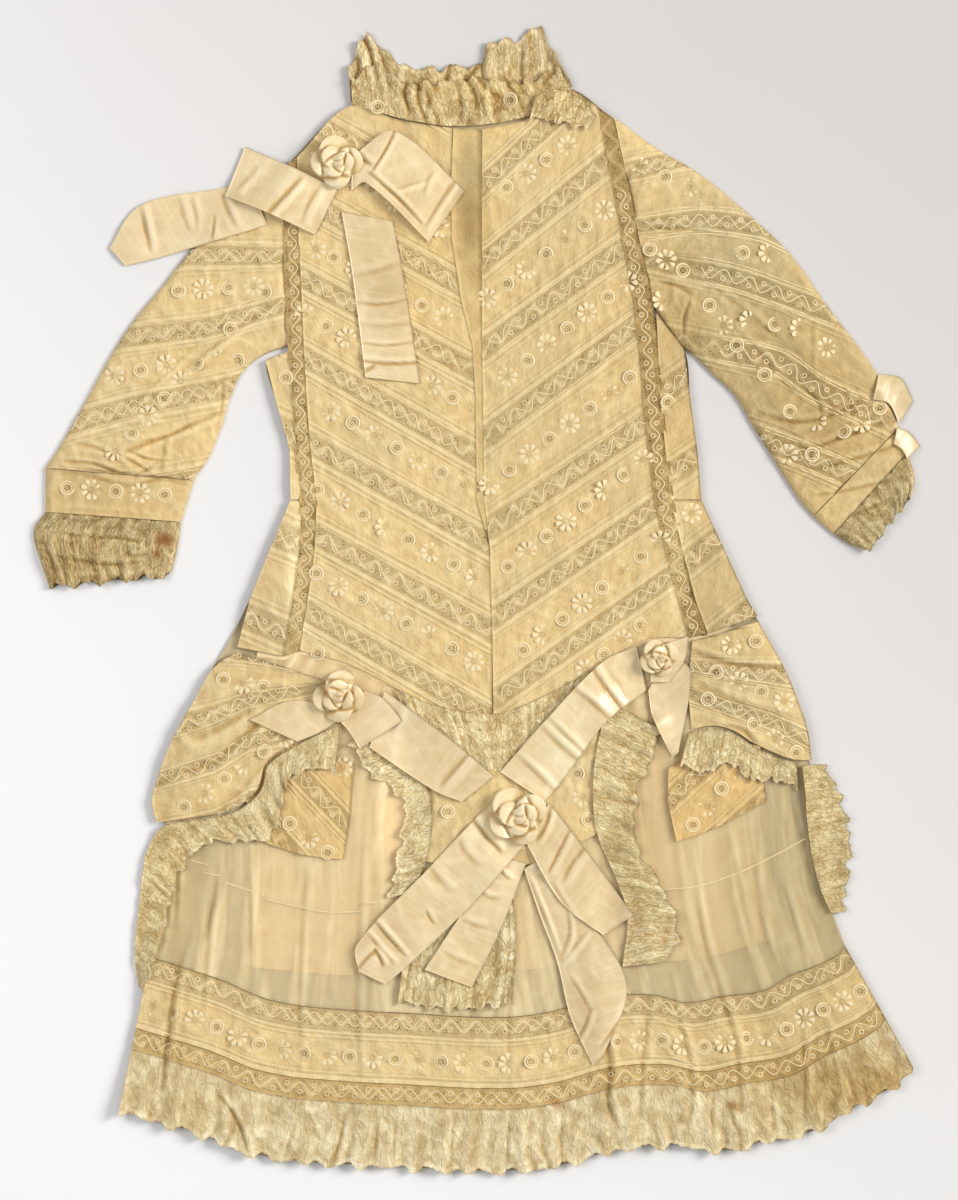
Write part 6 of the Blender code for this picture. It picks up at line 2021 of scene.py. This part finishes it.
creases = (
    (((24, -100), (37, -112), (52, -127)), 0.8, 0.6, 2.2),
    (((40, -81), (53, -94), (69, -108)), 0.9, 0.7, 2.4),
    (((45, -76), (58, -89), (73, -103)), 0.6, 0.5, 2.0),
    (((60, -55), (75, -67), (90, -81)), 0.9, 0.8, 2.2),
    (((74, -42), (85, -59), (96, -73)), 1.4, 1.6, 2.2),
)
ribbon(
    "swag_right",
    ((14.6, -112.3), (44.3, -78.6), (82.5, -39.7), (104.3, -29.8)),
    ((44.3, -132.1), (58.1, -114.3), (84.5, -79.3), (110.9, -58.8)),
    creases,
)
rosette("hip_rosette_right", (119.5, -37.7), 13.2, 4.0)

creases = (
    (((32, -179), (42, -204), (53, -233)), 0.9, 0.5, 1.6),
    (((59, -203), (60, -220), (54, -237)), 0.9, 0.7, 1.6),
    (((73, -216), (63, -229), (54, -240)), 1.0, 0.6, 1.5),
    (((59, -245), (67, -257), (74, -270)), 0.5, 0.6, 1.4),
    (((75, -267), (70, -281), (63, -294)), 0.8, 1.0, 1.6),
    (((102, -254), (94, -274), (79, -296)), 0.8, 1.1, 1.6),
)
ribbon(
    "centre_tail_long",
    ((30.4, -176.3), (41.0, -207.3), (52.2, -237.7), (60.8, -273.3), (75.9, -305.7)),
    ((46.2, -165.7), (62.1, -200.7), (84.5, -224.5), (98.4, -255.5), (83.2, -297.7)),
    creases,
)
ribbon(
    "centre_tail_short",
    ((14.6, -168.4), (-11.8, -207.3), (-34.9, -242.3)),
    ((31.7, -172.3), (15.9, -213.9), (-3.9, -254.2)),
    (
        (((11, -172), (16, -179), (22, -184)), 0.7, 0.9, 1.4),
        (((0, -190), (7, -195), (15, -196)), 0.4, 0.6, 1.8),
        (((-11, -209), (-3, -213), (7, -215)), 0.4, 0.5, 2.2),
        (((-25, -230), (-13, -236), (1, -241)), 0.3, 0.4, 2.0),
    ),
)
creases = (
    (((48, -135), (45, -147), (38, -159)), 0.9, 1.4, 1.7),
    (((61, -150), (54, -164), (46, -180)), 1.0, 1.5, 1.7),
    (((74, -159), (63, -172), (55, -187)), 0.6, 0.8, 2.4),
    (((48, -184), (57, -199), (67, -213)), 0.3, 0.7, 1.6),
)
ribbon(
    "centre_tail_right",
    ((46.9, -132.7), (74.0, -167.7), (102.3, -206.7)),
    ((31.7, -159.1), (54.2, -197.4), (82.5, -219.9)),
    creases,
)
creases = (
    (((-69, -209), (-59, -221), (-47, -234)), 1.2, 1.2, 1.6),
    (((-74, -217), (-65, -228), (-54, -240)), 0.8, 0.9, 1.6),
    (((-80, -244), (-74, -236), (-66, -229)), 0.5, 1.6, 1.8),
    (((-69, -228), (-65, -234), (-62, -241)), 0.9, 1.5, 1.8),
    (((-34, -203), (-32, -208), (-28, -213)), 0.5, 1.0, 1.3),
    (((-5, -142), (5, -154), (16, -166)), 1.2, 1.8, 2.0),
    (((-13, -157), (-8, -166), (1, -175)), 0.5, 0.6, 3.0),
    (((-32, -175), (-25, -184), (-17, -192)), 0.4, 0.5, 3.0),
)
ribbon(
    "centre_tail_left",
    ((9.3, -131.4), (-31.6, -175.0), (-79.8, -226.5), (-78.5, -243.6)),
    ((33.0, -157.8), (-5.2, -200.7), (-47.5, -241.0), (-60.7, -252.2)),
    creases,
)
rosette("centre_rosette", (26.4, -141.3), 21.1, 1.0)

ribbon(
    "sleeve_ribbon_upper",
    ((264.0, 149.7), (278.6, 147.1), (287.1, 131.9)),
    ((260.1, 132.6), (270.6, 129.9), (277.9, 116.7)),
    (), step=(1.3, 1.3),
)
ribbon(
    "sleeve_ribbon_lower",
    ((275.9, 114.1), (283.8, 111.5), (291.8, 102.2)),
    ((273.9, 103.5), (279.2, 99.6), (282.5, 93.6)),
    (), step=(1.3, 1.3),
)


# The patterns of the motifs are put away.
for pattern in (wheel, daisy):
    bpy.data.objects.remove(pattern)
